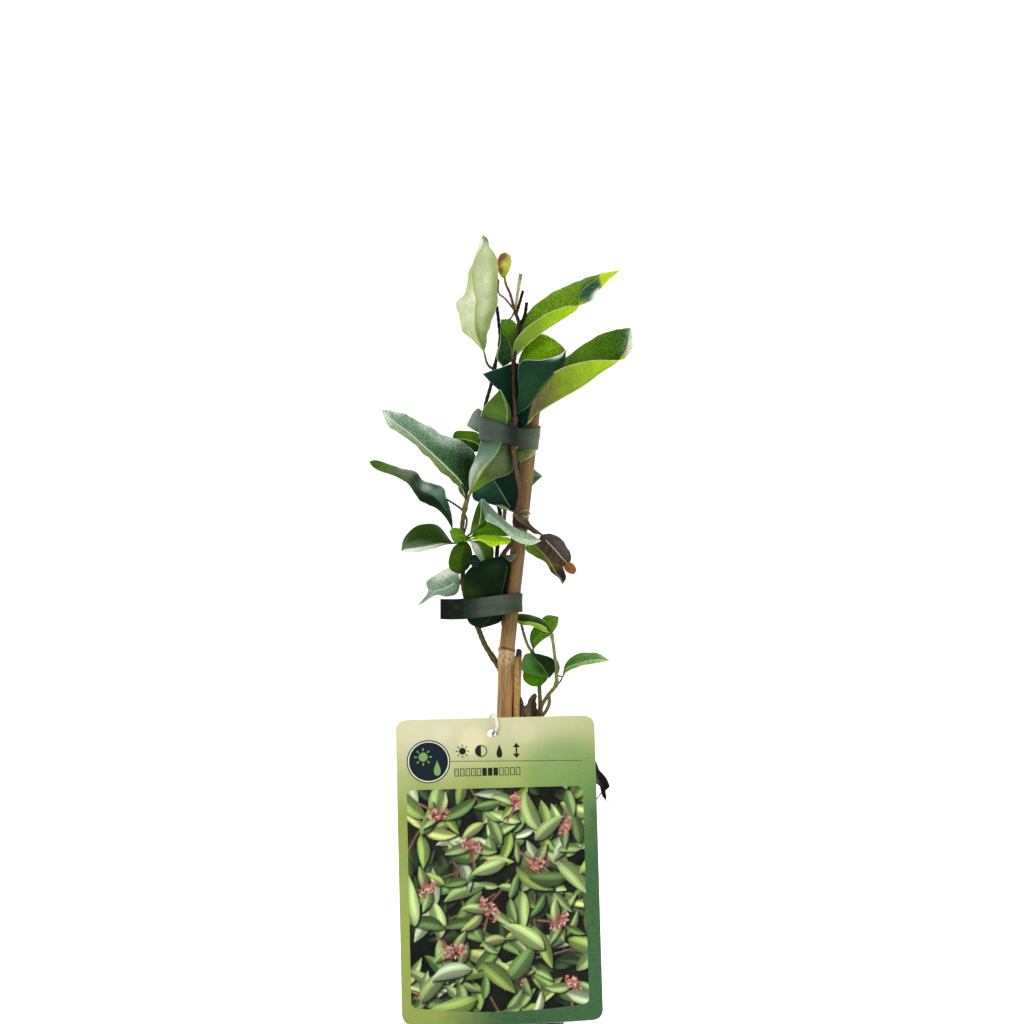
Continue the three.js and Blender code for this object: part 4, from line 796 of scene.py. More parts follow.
UPPER_SMALL = leaf_table("""
    1.8 -7.5 328.6
    5.4 -9 331, -1.3 -8.5 332.6, 7 -4.5 336
    5 -12 340.5, 0.1 -10.2 340.4, 10 -3.5 346.5
    1.6 -12.5 344.6, 0.4 -10.2 347.5, 6 -4.5 352
    0.5 -8.5 352
""")
UPPER_RIGHT = leaf_table("""
    5.7 -8.8 332.3
    11 -4.5 351, 11 -11 337, 8.5 -13.5 342.5
    17 0.5 359, 21 -12.5 345.5, 20 -17 352.5
    27 2.5 366.3, 31.5 -11.5 352.4, 31 -17 357.6
    36 3 370.4, 38.6 -9 357.8, 40.4 -14.5 358.9
    42 2.6 372.8, 40.6 -6 366, 45.6 -11.5 361.4
    48 2 374.7, 46.8 -4 371.2, 49.2 -7.5 366
    51.5 1.2 375.6, 51 -2.4 374, 51.4 -5.5 368.8
    60.3 -1 377
""")
CUPPED = leaf_table("""
    8 -9 304.5
    9.2 -6 317, 14.5 -14 309, 9.3 -13 314
    10.4 -5 335, 21 -17 317, 10.2 -15 330.4
    20.5 -3.5 345, 27 -17 324.5, 21 -19 331.5
    29.5 -6.5 340.3, 31.8 -13 330, 29.5 -15 334
    32.8 -9.5 336.7
""")
DARK_LEFT = leaf_table("""
    6.4 -8 301
    10.4 -6.6 315, 4.2 -8.8 306, 8.5 -4 310
    9.4 -8.4 329.8, 0.6 -11.3 315.2, 3.5 -3.5 323
    -1 -12.5 327.4, -4.4 -12.5 320.4, -2 -7 325
    -8.5 -12 324.8
""")
LOWER_RIGHT = leaf_table("""
    13.5 -8 300
    20 -4.5 318, 18.5 -10 305, 17.5 -13 312
    30 1.5 330.5, 29.5 -12.5 312, 26.5 -17.5 325
    40 4 338.7, 41 -12.5 318.6, 40 -18.5 330.2
    51 4 345.3, 50.8 -8 325.9, 50 -15.5 331.6
    58 3 347.3, 58 -6 330.6, 59.8 -12 331.6
    62.4 1.6 348, 62.6 -3 337, 65.2 -8 335.8
    64.6 0.4 348.1, 64.4 -1.6 343.5, 66.3 -4.6 340.4
    65.7 -1 347.6
""")
BEHIND_TAPE = leaf_table("""
    8.9 -8 289.5
    7.4 -6.2 297, 10.6 -6.8 296, 13 -6 295
    6.8 -6.2 306, 12 -7 304, 14.3 -6 303
    15 -6.5 311
""")
UNDER_TAPE = leaf_table("""
    7.4 -8.3 285
    9.8 -6.6 290, 10 -7.2 285.6, 9.6 -6.6 281.2
    14 -6.2 290, 14 -6.6 286.4, 14 -6.2 282.6
    18.4 -4.4 286
""")
DARK_BROAD = leaf_table("""
    7.4 -5.6 255.6
    -3 -1 259.5, 4 -4.2 260.2, 9.2 -3.6 258.6
    -13.3 1.5 262.5, 0 -4 267, 9.4 -3 269
    -12.5 1.5 270.3, -3.9 -3.2 273, 8.8 -2.5 281.5
    -7.5 -1 279
""")
GREY_SMALL = leaf_table("""
    5.5 -6.6 256.8
    1.6 -6.5 257.2, 1.5 -7.2 258.3, 1.6 -6.5 259.6
    -2 -6.6 259.5
""")
BEHIND_CANE = leaf_table("""
    8 6.7 261
    8.3 6.2 283.5, 10.5 6.8 272, 12 6.2 262
    15 7 279, 15 7.6 274, 15.8 7 268.6
    21.4 8.2 274
""")
BEHIND_WITHERED = leaf_table("""
    15 -5.2 243
    21.4 0.5 241.4, 17.6 -3.2 239, 12.8 -4 237.4
    26.6 1.5 237, 22 -1.2 234.8, 17.8 -0.5 233.6
    30.6 1.5 231, 25.4 -1 230, 22.9 -0.5 230.6
    32.4 0.8 226, 28 -1 225.6, 25.6 -0.3 226
    33 0.4 223, 30.4 -0.8 222.6, 29.4 -0.4 223
    31.2 0 219.8
""")
BIG_DARK = leaf_table("""
    3.8 -5 234
    5.4 -1.6 228.6, 3.4 -5.4 227.5, -7.6 -10.5 232.3
    3.3 -0.6 218, 1.4 -5.6 218, -17.2 -11 225.2
    1 0.6 208, -1.4 -5.8 208.3, -17.4 -9.5 211
    0.4 0.5 201.5, -6 -6.3 202.2, -15.4 -8.6 200.8
    -9.5 -7.2 198
""")
DARK_CURL = leaf_table("""
    -9 -9.8 230.4
    -12.5 -11.6 228.4, -13 -12.6 231.6, -12.6 -12 234.8
    -16.8 -12 232.4
""")
GREY_BRACT = leaf_table("""
    1.5 -5.6 234.3
    5.2 -6 231.4, 5 -6.4 233.2, 4.6 -6 234.6
    8.4 -6 234.8
""")
FRONT_STEM = [
    (6, 10, 57.3), (6, 10, 80), (6, 10, 91), (6, 9.6, 112), (5.4, 8.8, 135), (5, 7.6, 165),
    (4.4, 7.2, 195), (3.4, 6, 208), (1.6, 3.5, 218), (0.6, -0.5, 227.5), (1.6, -5.2, 234.6),
    (5.6, -8.2, 240.5), (7, -8.8, 244.8), (7.6, -8.6, 250), (8.5, -7.6, 256), (9.8, -7.6, 262),
    (10, -7.8, 267.5), (9, -8, 272.5), (8, -9, 278.5), (6.8, -10.4, 288), (7.5, -10.5, 299.5),
    (7.5, -10.5, 308), (7, -10.5, 316), (6.8, -10.5, 323), (7.1, -10.2, 331), (8.8, -9, 342),
    (9.2, -8, 351), (7.4, -7, 356.3),
]

front = Shoot()
front.stem(
    FRONT_STEM, 1.7, 0.85,
    "4a3626 5a4330 6a5038 5a4434 4a362c 42302a 3c2c24 54402f 745c46 5c483a 42362b 54423a",
    knots=[(7.5, -10.5, 302), (8.5, -7.6, 255.5), (1, -5, 234), (7, -10.2, 328.5),
        (7.1, -10.4, 288)], swell=0.5,
)
front.stem(
    [(9.2, -8, 351), (7.4, -7, 356.3), (5, -6.3, 365), (3, -5.8, 369.5), (2, -5.5, 375)], 0.85, 0.6,
    "5a3c34 6a4a3c 7a5c48 7a6444 9aa04c",
)
front.stem(
    [(7.4, -7, 356.3), (2.5, -6, 362.5), (-0.6, -5.2, 365.2), (-0.7, -5, 372)], 0.55, 0.45,
    "6a4a3c 8a6c5c 7f6450",
)
front.stem([(7, -7.2, 355.5), (6, -6.6, 353.5), (4.4, -6.2, 351.6)], 0.5, 0.4, "8a7060 6a5244")
front.stem([(7.6, -7, 356), (8.6, -6.4, 364), (10.4, -6, 374.8)], 0.6, 1.0, "8a8c58 b4bc78 ccd29c a4a878")
front.stem([(8, -7, 354.5), (9.4, -6, 359), (11.5, -5.6, 366.4)], 0.8, 0.75, "3c302c 1c1818 141414")
front.stem([(9.2, -8, 349), (12, -4.6, 353), (13.4, -4, 360.6)], 0.9, 0.8, "2c3430 242c28 1c2420")
front.stem(
    [(9.4, -4.6, 255.4), (11, -4.9, 256.6), (12.9, -4.3, 256.9), (14.4, -2.8, 256.2),
        (15.1, -0.8, 254.8)], 0.4, 0.35, "8c946c b4bc94 c4cca8",
)
front.stem(
    [(10.8, -5, 254.6), (12.4, -4.7, 253.6), (14, -3.4, 254.2), (13.8, -3.5, 255.8)], 0.4, 0.3,
    "a4ac84 c4cca8",
)
front.leaf(
    UPPER_SMALL, [(7, -10.2, 327.4), (4.6, -8.6, 327.6)], left="162a18 1c341e 24401e 305018",
    right="3c5c18 4c7818 5c8c20 4a7414", rim="a8bc90", rib="86a05c", mottle=(0.4, 0.8),
)
# Painted light: the lime stops of the near, right half are light shining through its underside, and the
# near-white patch f4faf8 is a painted highlight along its edge.
front.leaf(
    UPPER_RIGHT, [(7.1, -10.2, 329.5)], 0.9,
    left="3c5418 466a0e 5c840e 648a10 648a1c 5c8018 547820 54781c c0dc28",
    right="4c6428 688430 84a42a a4c81e a8cc1e 345c40 3c6040 406444 c0dc28", rim="e8d8bc",
    edge=(0.7, 0.7, 0.7, 0.4, 0.2), rib="b4c86c", mottle=(0.9, 0.35), veins=0.45,
    patches=[(0.0, 1.0, 4.0, 0.115, "c0dc28", 9.0), (1.0, 0.71, 0.24, 0.085, "f4faf8", 1.0),
        (0.2, 0.66, 0.35, 0.1, "26483a", 0.9), (-0.1, 0.68, 0.25, 0.1, "3c6030", 0.8)],
)
# Painted light: the bright left half is light shining through the leaf, the dark right half is painted
# shade, and the pale patch e8eef0 at its right end is a painted highlight.
front.leaf(
    CUPPED, [(7.5, -10.5, 302.5)], 0.9, left="24441c 50780c 6c9c0c 749f0c 68920f 4c7a1c",
    right="10261a 122c20 163424 183828 1e402c 284c3c", rim="eef4f2",
    edge=(0.0, 0.05, 0.3, 0.8, 1.0, 1.0), rib="2c4c30", mottle=(0.9, 0.15), veins=0.12, arch=0.015,
    waves=0.2, patches=[(0.95, 0.86, 0.25, 0.16, "e8eef0", 1.0),
        (0.5, 0.3, 0.5, 0.2, "24482c", 0.5)],
)
front.leaf(
    DARK_LEFT, [(7.5, -10.5, 301.8)], 0.9, left="142c18 12301c 0e2a24 16362c",
    right="1c381a 16341c 102c24 1a3c30", rim="a4bc8c", edge=(0.8, 0.6, 0.6), mottle=0.15,
    veins=0.15, rib="3c5c4c",
)
front.leaf(
    LOWER_RIGHT, [(7.2, -10.5, 291), (10.6, -9.2, 295.5)], 0.9,
    left="2c4a1c 40600f 4c6c0c 50760c 48700c 3a600c 40642c 7c9a74 c8d4c4",
    right="4c4830 5c6438 748428 86a424 94b41c 98b81c b4c878 dfe6dc dfe6dc", rim="e0dcc8",
    edge=(0.5, 0.7, 0.7, 0.7, 0.3), rib="a8b870", mottle=(0.9, 0.3), veins=0.3,
    patches=[(0.8, 0.87, 0.5, 0.13, "e8ece4", 3.0), (0.05, 0.94, 0.5, 0.07, "e0e6e2", 0.9),
        (-0.25, 0.76, 0.25, 0.08, "6c8c74", 0.6), (0.5, 0.12, 0.4, 0.12, "6a5a44", 0.7)],
)
front.leaf(
    BEHIND_TAPE, [(6.9, -10.4, 287.5)], 0.6, left="0c2420 10282a", right="0c2420 14302e",
    rim="5c7c70", rib="1c3c34", mottle=0.1,
)
front.leaf(
    UNDER_TAPE, [(7.2, -10, 284)], 0.6, left="2c3c1c 3c4c24 6c7c4c c4ccbc",
    right="3a4a20 4c5c28 5c6c34 a8b490", rim="dce4d8", edge=(0.1, 0.2, 0.9), rib="5c6c38",
)
# Painted sheen: the greyer left stops and the patch 3c705c paint a silvery sheen on the dark blade.
front.leaf(
    DARK_BROAD, [(8.4, -7.4, 254.4)], left="0a1e18 14302a 2c4c3c 345444",
    right="081c12 0a2218 102c1e 183822", rim="6f8a74", rib="6c9464", veins=0.1, mottle=0.15,
    gloss=0.35, patches=[(-0.6, 0.72, 0.35, 0.18, "3c705c", 0.75)],
)
front.leaf(
    GREY_SMALL, [(8.4, -7.6, 255.6)], 0.5, left="3c5444 5c7c64", right="4c6454 34503c",
    rim="a4b8a0",
)
front.leaf(
    BEHIND_CANE, [(8.2, -7.6, 254.6), (7.4, -4.6, 253), (7, 2.5, 255)], 0.6,
    left="2c4a24 3c5c34 7c9478", right="2c4a24 345428 6c8468",
)
front.leaf(
    BEHIND_WITHERED, [(7.6, -7.8, 253), (12.6, -5.7, 246.8)], 0.6,
    left="4a6c1c 4c6c20 50641f 4a4c24 33261c 201812 16100c",
    right="5c8424 4f7420 4a6420 4c4c24 3f3020 261c16 16100c", rim="8a7c58", edge=0.2, rib="b0a070",
    veins=0.15, patches=[(0.0, 0.5, 3.0, 0.06, "6c7434", 0.5)],
)
front.leaf(
    BIG_DARK, [(0.8, -4, 233.4)], 0.9, left="08180c 081a0c 081e0c 0a200c 0a1c0c",
    right="08180c 081a0c 0a1e0c 0c240c 0c1e0c", rim="3c5440", edge=0.3, rib="34502c", veins=0.15,
    mottle=0.1, gloss=0.35, patches=[(0.5, 0.24, 0.25, 0.1, "183018", 0.6),
        (0.8, 0.56, 0.3, 0.1, "243c12", 0.8)],
)
front.leaf(
    DARK_CURL, left="0c1c18 142c24", right="0c1c18 10241c", rim="4c6c5c", edge=0.3, veins=0.1,
    mottle=0.1, rib="1c342c",
)
front.leaf(GREY_BRACT, left="2c3430 545c58", right="20282a 3c4644", rib="4c5450", veins=0.0)

# The bud at the top is a small egg of folded leaves, turned round a leaning line.
BUD_X, BUD_Y, BUD_Z, BUD_LEAN = 2.1, -5.5, 379.2, 0.12
BUD_FOOT, BUD_TALL, BUD_SIDES = 372.6, 13.2, 32
bud_profile = [(0, -6.6), (1.9, -4.6), (3.1, -1), (3.4, 2.2), (2.5, 5), (0, 6.5)]
bud_curve = curve([(r, 0, z) for r, z in bud_profile], np.linspace(0.01, 0.99, 30))
up = bud_curve[:, 2]
bud_line = np.stack([BUD_LEAN * up + BUD_X, np.full_like(up, BUD_Y), up + BUD_Z], axis=-1)
bud_turn = np.linspace(0, 2 * math.pi, BUD_SIDES, endpoint=False)[None]
scales = 0.12 * np.cos(4 * bud_turn + 0.25 * bud_curve[:, 2:3]) * bud_curve[:, :1] / 3.4
bud_points, bud_faces, _ = tube(bud_line, bud_curve[:, 0], BUD_SIDES, dent=scales)
bud_tint = shades("7c8c30 a4b044 bcc658 bcc45c acb450", (bud_points[:, 2] - BUD_FOOT) / BUD_TALL)
for centre, reach in (((0.4, -7.4, 383.6), 3.0), ((-0.4, -8, 376.2), 2.0), ((-0.9, -8, 380), 1.4)):
    near = np.exp(-((np.linalg.norm(bud_points - np.array(centre), axis=1) / reach) ** 2))
    bud_tint += np.clip(1.7 * near, 0, 0.9)[:, None] * (np.array(rgb("6a1822")) - bud_tint)
bud_skin, put = principled("bud_skin", Roughness=0.5, Specular_IOR_Level=LEAF_SPECULAR)
fleck = noise(bud_skin, node(bud_skin, "TexCoord", out=3), 900.0, 4.0, 0.65)
flecked = spread(bud_skin, fleck, 0.45, 0.7, 0.0, 0.5)
put(Base_Color=blend(bud_skin, flecked, stored(bud_skin, "tint"), rgb("8c8a34")))
put(Normal=bump(bud_skin, fleck, 0.4, 0.2))
bud = mesh_piece("top_bud", bud_points, bud_faces, bud_skin, tint=bud_tint)
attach(bud, "root")
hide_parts("shoot_front")
front.build("front_shoot", "shoot_front")

# ---- Left shoot ---------------------------------------------------------------------
# The stem that leaves the cane at its node and climbs on the left: above the lower tape
# a cluster of small leaves comes from one joint, and above it a silvery and a big leaf.
UNDER_TAPE_LEFT = leaf_table("""
    -15.3 -5.4 264.5
    -15.2 -9 275.5, -9.4 -10 276.5, -4 -8.6 271.8
    -12 -12.6 283.5, -2.2 -11 285, 6 -6.4 276.4
    -9.4 -13.4 292.6, 1.6 -11 294, 5.6 -7.2 289
    -9 -13.8 306, 3.6 -12.6 306, 5 -10.8 307
    0.1 -14.2 317.2
""")
SILVER_BIG = leaf_table("""
    -16.6 -4.6 264
    -19.2 -2 267.6, -19.4 -5 270.5, -11 -1.6 280
    -28.2 -5 275, -26.8 -8.4 278.5, -15.5 -2.6 288.7
    -38.4 -6 285.6, -36.8 -9.6 287.8, -30 -1.5 295.6
    -48 -6 293.8, -45 -8.6 295.2, -42.5 -2 302.6
    -55.6 -6.5 298.6, -52.8 -7.6 301, -53 -4.5 306.6
    -59.4 -8 307
""")
BEHIND_SILVER = leaf_table("""
    -17.4 -1.5 262.5
    -20.6 1.5 266.6, -18.8 0.6 267.6, -16.4 1 268.4
    -21.2 2.6 271.4
""")
RIBBON = leaf_table("""
    -23.6 -3 247
    -26.4 -3.6 252, -25.3 -4.2 253.2, -24 -2.2 254
    -30.8 -6.6 257, -28.6 -6.6 259.6, -26.1 -1.6 261
    -35.8 -8.6 259.7, -33.2 -6 264, -28.2 -1 267.8
    -40 -8.8 261.6, -38.4 -4.6 266.6, -34 0.6 270.4
    -42.8 -8 266.2, -41.8 -3.6 270.2, -39.2 1.6 272.4
    -46.4 -6.4 270.2, -43.8 -3.4 273.8, -43 2 276.6
    -51.8 -5.4 273.6, -50.4 -3.4 275.6, -49.4 -0.4 277.8
    -59.4 -4.4 276.2, -58.8 -3.4 278.6, -58 -2 280.9
    -63.4 -4 278.4, -63.2 -3.4 280.2, -62.8 -2.8 281.9
    -65.5 -3.5 281.2
""")
HALF_DISC = leaf_table("""
    -23.5 -6.5 240.4
    -30.5 -10.8 238.6, -29.6 -8 240.4, -26.6 -3 244.4
    -37 -12.4 236.6, -36.6 -7.4 239, -32 1 249.9
    -43 -11 235.8, -43.6 -6.6 238, -41.6 1.6 249
    -46.8 -8 235.6, -47.6 -5.6 237.4, -48.2 -1.4 242.8
    -49.2 -5.6 236.4
""")
BRIGHT_LEFT = leaf_table("""
    -16.4 -6.6 243.2
    -19 -9 241.4, -19 -9.6 244.2, -19 -8.6 247
    -22.8 -9.4 241, -22.6 -10.4 244.8, -22.8 -9.4 248.2
    -25.2 -9.4 246.6
""")
BRIGHT_RIGHT = leaf_table("""
    -15 -6.4 242.2
    -10.5 -8 244.3, -10 -9 242.8, -9.6 -9 241.6
    -5 -9 244.6, -5 -10.4 241.6, -3.8 -12 238.6
    0.8 -9 243.6, 0.8 -10.2 241.6, -0.4 -10.6 239.6
    4.6 -9.2 243.2, 4.4 -9.6 241.6, 3.8 -9.8 240
    5.6 -10 241.6
""")
MID_GREEN = leaf_table("""
    -14.6 -5 243.4
    -9.6 -2.4 251, -9.5 -4.6 247.2, -9 -5.6 243.4
    -2.4 -2.4 250.4, -2 -4.6 247.4, -1.6 -5.4 243.8
    3.4 -3.4 248, 3.2 -4.6 246, 3 -5.2 243.8
    6 -4.8 244.6
""")
UPRIGHT = leaf_table("""
    -15.2 -4.4 245
    -14.2 -2.8 249.5, -11 -4.6 248.6, -7.6 -3.6 248.4
    -12.9 -3 255, -9.6 -5 254, -6.6 -4.4 252.6
    -11.2 -3.8 259.6, -9.4 -5.4 258.6, -7.6 -5 257.6
    -9.3 -5.8 262.8
""")
SILVER_CURVED = leaf_table("""
    -7.6 -10 252.4
    -9 -9.8 262.5, -6 -11.4 255, -6 -11.2 251.4
    -2 -10.6 256, -1.6 -12.4 252, -0.4 -12 248.6
    7 -10.8 248.4, 6 -12.2 245.6, 7.6 -12 241.8
    15.4 -8.8 245, 14.4 -10.6 242.2, 15.4 -10.4 239.6
    20.6 -9.4 241.6
""")
DARK_ROUND = leaf_table("""
    -16.8 -5.8 241.6
    -14.6 -6 238.4, -18.4 -7 238, -22.8 -6 239
    -13.8 -6 233, -19.4 -8 232, -25.5 -6 232.2
    -16 -6.4 227.8, -20 -7.4 227.4, -24.6 -6 227.2
    -20.4 -6.8 225
""")
HANGING = leaf_table("""
    -15 -5 241.6
    -6.8 -3.4 241.4, -11.4 -4.4 240.2, -13.6 -4 237.8
    -3.4 -3.4 238, -9 -4 236, -11.8 -3.6 234
    -3.6 -2.4 232, -7.4 -3 231, -9.4 -2.6 229.6
    -6.2 -1.6 224
""")
PALE_TAILED = leaf_table("""
    -19.6 -3 221.4
    -21.4 -2.6 215.4, -23 -3 220.2, -22.6 0.6 228.6
    -26.6 -3 213.6, -27 -2.6 218, -28 1.4 227.2
    -31.6 -2.8 214.4, -32 -2.2 216.4, -36.8 0.6 221
    -34.6 -2.2 213, -34.8 -1.8 214, -36 -0.4 216.4
    -38 -2 210.6, -38.3 -1.7 211.4, -38.8 -1.2 212.2
    -42.4 -1.6 208.4
""")
LEFT_STEM = [
    (-4, 12.5, 57.3), (-4, 12.5, 80), (-4, 12.5, 91), (-3.4, 12, 115), (-0.6, 10.4, 145),
    (0.6, 8, 165), (0.4, 7, 175.5), (-3.3, 5.5, 182.6), (-7.6, 3.6, 189.6), (-11, 1, 198),
    (-15, -1, 208), (-18, -2.5, 217), (-18.6, -3.4, 232), (-19, -4, 247), (-18, -4.6, 255.5),
    (-16.4, -5, 262.5),
]
CLUSTER = (-18.8, -4, 242.6)

left_shoot = Shoot()
left_shoot.stem(
    LEFT_STEM, 1.8, 1.15,
    "4a3626 54402c 54402c 6a5438 7a6444 786448 6c6040 645c3c 5a4c34 5c5038 7c7c4c", knots=[CLUSTER,
        (-17.4, -4.8, 258), (-18.2, -2.8, 221.4), (-4, 5.6, 183)],
)
# Painted shade: the dark right-half stops and the patch 1c3018 are the shade under the tape.
left_shoot.leaf(
    UNDER_TAPE_LEFT, [(-17.4, -4.8, 258)], 1.1, left="6c8450 7c9478 607c6a 48604a 4c6c26 3c5c20",
    right="4c681c 445428 40502e 344424 44641f 5c7c28", rim="d8e0d0", edge=(0.2, 0.3, 0.5, 0.7, 0.7),
    rib="a8b880", veins=0.15, gloss=0.3, mottle=0.25,
    patches=[(0.4, 0.36, 0.3, 0.12, "626e4c", 0.6), (0.9, 0.52, 0.35, 0.12, "1c3018", 0.85),
        (0.6, 0.06, 0.5, 0.1, "5c8414", 0.9), (0.0, 0.0, 0.16, 0.24, "c4c890", 1.0),
        (-0.8, 0.2, 0.3, 0.16, "b4c4b4", 0.8)], stalk_colours="5c4c34 6a5f3c 8c8c58 a8b080 b8c48c",
)
# Painted light: the pale silvery stops and patches paint the sheen of light on the glossy upper side, and
# the dark patch 0c2410 near the foot is painted shade from the leaves over it.
left_shoot.leaf(
    SILVER_BIG, [(-17.4, -4.8, 258.5)], 0.9, left="44601c 546c30 6c8450 7c9070 94a88c dfe6e0",
    right="0e260e 143210 3c5c40 64846c 7c9884 64846c", rim="dfe8de", edge=(0.4, 0.8, 0.9, 1.0, 1.0),
    rib="dfe8dc", veins=0.12, gloss=0.3, waves=0.9, mottle=(0.5, 0.9),
    patches=[(0.9, 0.5, 0.45, 0.14, "a4b8ac", 0.9), (0.9, 0.86, 0.3, 0.1, "b4c4bc", 0.7),
        (0.55, 0.2, 0.4, 0.14, "0c2410", 0.8), (0.95, 0.27, 0.16, 0.08, "5c7c68", 0.7),
        (0.3, 0.95, 0.7, 0.08, "b8ccc4", 0.8)],
)
left_shoot.leaf(BEHIND_SILVER, [(-18, -4.6, 255.5)], 0.5, left="1c3c24 5c7868", right="1c3c24 7c9488")
# Painted light: the silver patch 94a8a0 and the stops 608070 547262 are a painted highlight on the glossy
# blade, and the near-black patch 262428 is a painted dark reflection.
left_shoot.leaf(
    RIBBON, [CLUSTER, (-21.4, -4, 243.6)], 0.6,
    left="12301c 142f1c 122c16 102416 122414 283824 505a44 58623f 4c6c24 3c5c18 44681a",
    right="1a3a20 204228 304f36 608070 547262 283e2c 50604a 5c684c 50702c 446420 44681a",
    rim="a4b8a0", edge=(0.4, 0.3, 0.2, 0.3, 0.3), rib="50684c", veins=0.1, gloss=0.7, waves=0.5,
    mottle=0.25, patches=[(0.72, 0.36, 0.3, 0.05, "262428", 0.85),
        (0.3, 0.4, 0.3, 0.05, "94a8a0", 0.8), (0.95, 0.47, 0.2, 0.05, "5c8c2c", 1.0),
        (0.0, 1.0, 3.0, 0.06, "4c701c", 0.9), (0.0, 0.56, 1.0, 0.05, "182c1c", 0.8)],
)
left_shoot.stem(
    [CLUSTER, (-16.6, -3.6, 252), (-19, -3.6, 257), (-26.6, -3, 262.4)], 0.6, 0.5,
    "5a6a38 4c6a38 2c4c24",
)
# Partly painted light: the pale left stops are the leaf's pale rolled edge and also a painted whitish
# sheen on its glossy face.
left_shoot.leaf(
    HALF_DISC, [CLUSTER, (-20.4, -5.6, 241)], 0.7, left="5c6c48 ccd4c4 e4e8e0 eceee8",
    right="1c3408 203c04 243f06 2c4814 445c34", rim="eef0e8", edge=(0.2, 0.7, 1.0, 1.0),
    rib="54703c", veins=0.15, gloss=0.45, mottle=0.3,
    patches=[(0.45, 0.86, 0.4, 0.14, "6c7e5c", 0.7), (0.12, 0.7, 0.16, 0.3, "64805c", 0.7)],
    stalk_colours="3c4c1c 34441c 4c5c38",
)
left_shoot.leaf(
    BRIGHT_LEFT, [CLUSTER, (-17.6, -5.4, 242.8)], 0.7, left="406008 4c7010 5c8014",
    right="44680c 548010 649014", rib="6c9820", veins=0.1,
)
left_shoot.leaf(
    BRIGHT_RIGHT, [CLUSTER, (-16.8, -5.4, 242.2)], 0.8, left="6c9814 7cac18 88b018 6c9814",
    right="98c01c a8d41c a4d018 84b018", rim="b4cc50", rib="84ac18", veins=0.1,
)
left_shoot.leaf(
    MID_GREEN, [CLUSTER], 0.6, left="446c14 4c7814 3c6010", right="4c7410 4c7c10 3c6010",
    rib="5c8c18", veins=0.1, rim="e4ecd4", edge=(1.0, 1.0, 0.2),
)
left_shoot.leaf(
    UPRIGHT, [CLUSTER, (-16.8, -4.2, 243.4)], 0.6, left="7c9060 3a5418 2c450c 64805a",
    right="344e14 28440a 2c4816 64805a", rim="b4c4a0", edge=0.3, veins=0.1, mottle=0.3,
)
left_shoot.leaf(
    SILVER_CURVED, [CLUSTER, (-14.8, -6.6, 244.8), (-11, -9.4, 248.6)], 0.6,
    left="5c7864 54705f 708c76 94ac8e a8c0a0", right="9cb09c 84a08a 94ae94 b8ceb0 c4d8bc",
    rim="f0f6f0", stalk_colours="5c8c14 5c8424 6c8c54", edge=(1.0, 1.0, 0.8, 0.4, 0.3),
    rib="8ca698", veins=0.2, gloss=0.3, mottle=0.5,
    patches=[(-0.7, 0.85, 0.5, 0.12, "6c8878", 0.6)],
)
left_shoot.leaf(
    DARK_ROUND, [CLUSTER], 0.6, left="283f08 243a06 1a2e04", right="2e4c08 345208 264206",
    rim="4c6c28", edge=0.15, mottle=0.4, veins=0.05, rib="3c5c10",
)
left_shoot.leaf(
    HANGING, [CLUSTER], 0.6, left="5c7c2c 44681c 3c5c14 2c4a0c",
    right="d8e2d4 c4d0c0 94ac8c 4c6c2c", rim="d0dccc", edge=0.3, rib="5c7c44", veins=0.05,
    mottle=0.3,
)
left_shoot.leaf(
    PALE_TAILED, [(-18.2, -2.8, 221.4)], 0.7, left="648469 76947f 809c8c 7c9a84 547a5c 446a4c",
    right="64846a 6c8c74 76947f 94aa9c 64886c 547a5c", rim="f4f8f4", edge=1.0, rib="d4e4cc",
    veins=0.5, waves=0.7, mottle=0.6, patches=[(0.85, 0.25, 0.4, 0.26, "eef4ea", 1.0),
        (0.7, 0.5, 0.35, 0.08, "5c8070", 0.7)],
)
left_shoot.build("left_shoot", "shoot_left")

# ---- Back shoot ---------------------------------------------------------------------
# The stem behind the cane, dark with age up to the upper tape. It carries a small green
# leaf there and the tall pale leaf at the very top.
PALE_TALL = leaf_table("""
    -8 -1.4 336
    -6.5 0.2 341, -9.9 -2.4 340.5, -13.2 -0.8 341.2
    -6.1 0.4 346, -11.9 -3.4 346, -19 -0.8 347
    -2.6 0.6 355.4, -12.2 -4.2 355, -20.7 0.2 355.4
    -1 0.8 363, -11.7 -4.6 362, -22.4 -1.2 360
    -0.9 1 370.5, -13.1 -3.6 368.5, -18 0.2 364.8
    -1 1.4 378.5, -13.6 -3.2 375, -16.2 -1 373.4
    -2.2 1.8 385, -11.2 -3.2 384, -13.2 -0.6 383
    -5.4 0.8 389, -8.4 -2.2 389.4, -11 -0.4 388.8
    -6.5 0.8 393.2, -8.4 -1.4 393, -10.2 -0.2 392.6
    -8.3 0.9 394.6
""")
BEHIND_GREEN = leaf_table("""
    -8.4 4.4 287
    -12.8 2.2 286, -12 1.8 290.6, -11 2.4 295.4
    -18.4 2.2 287.8, -18 1.8 292.4, -17.6 2.6 296.6
    -22.6 2.8 289.8, -22.8 2.6 292.6, -22.4 3 296.2
    -24 3.4 292.6
""")
BACK_STEM = [
    (1.2, 15, 57.3), (1.2, 15, 80), (1.2, 15, 91), (1.8, 13.6, 120), (2.6, 11.4, 150),
    (2.8, 10.6, 175), (2, 10.2, 198), (-0.4, 9.4, 210), (-1.7, 8.4, 221), (-1.7, 7.6, 232),
    (-1.1, 7, 241), (0, 7, 254.5), (-2, 7, 264), (-5, 6.8, 275), (-8, 6.2, 287),
    (-8.3, 5.6, 298), (-7.5, 5, 308.5), (-4.3, 4, 320.5), (-2.4, 3.6, 330), (0, 3.2, 340.5),
    (-0.7, 3.2, 351.5), (-1.6, 3.4, 359),
]

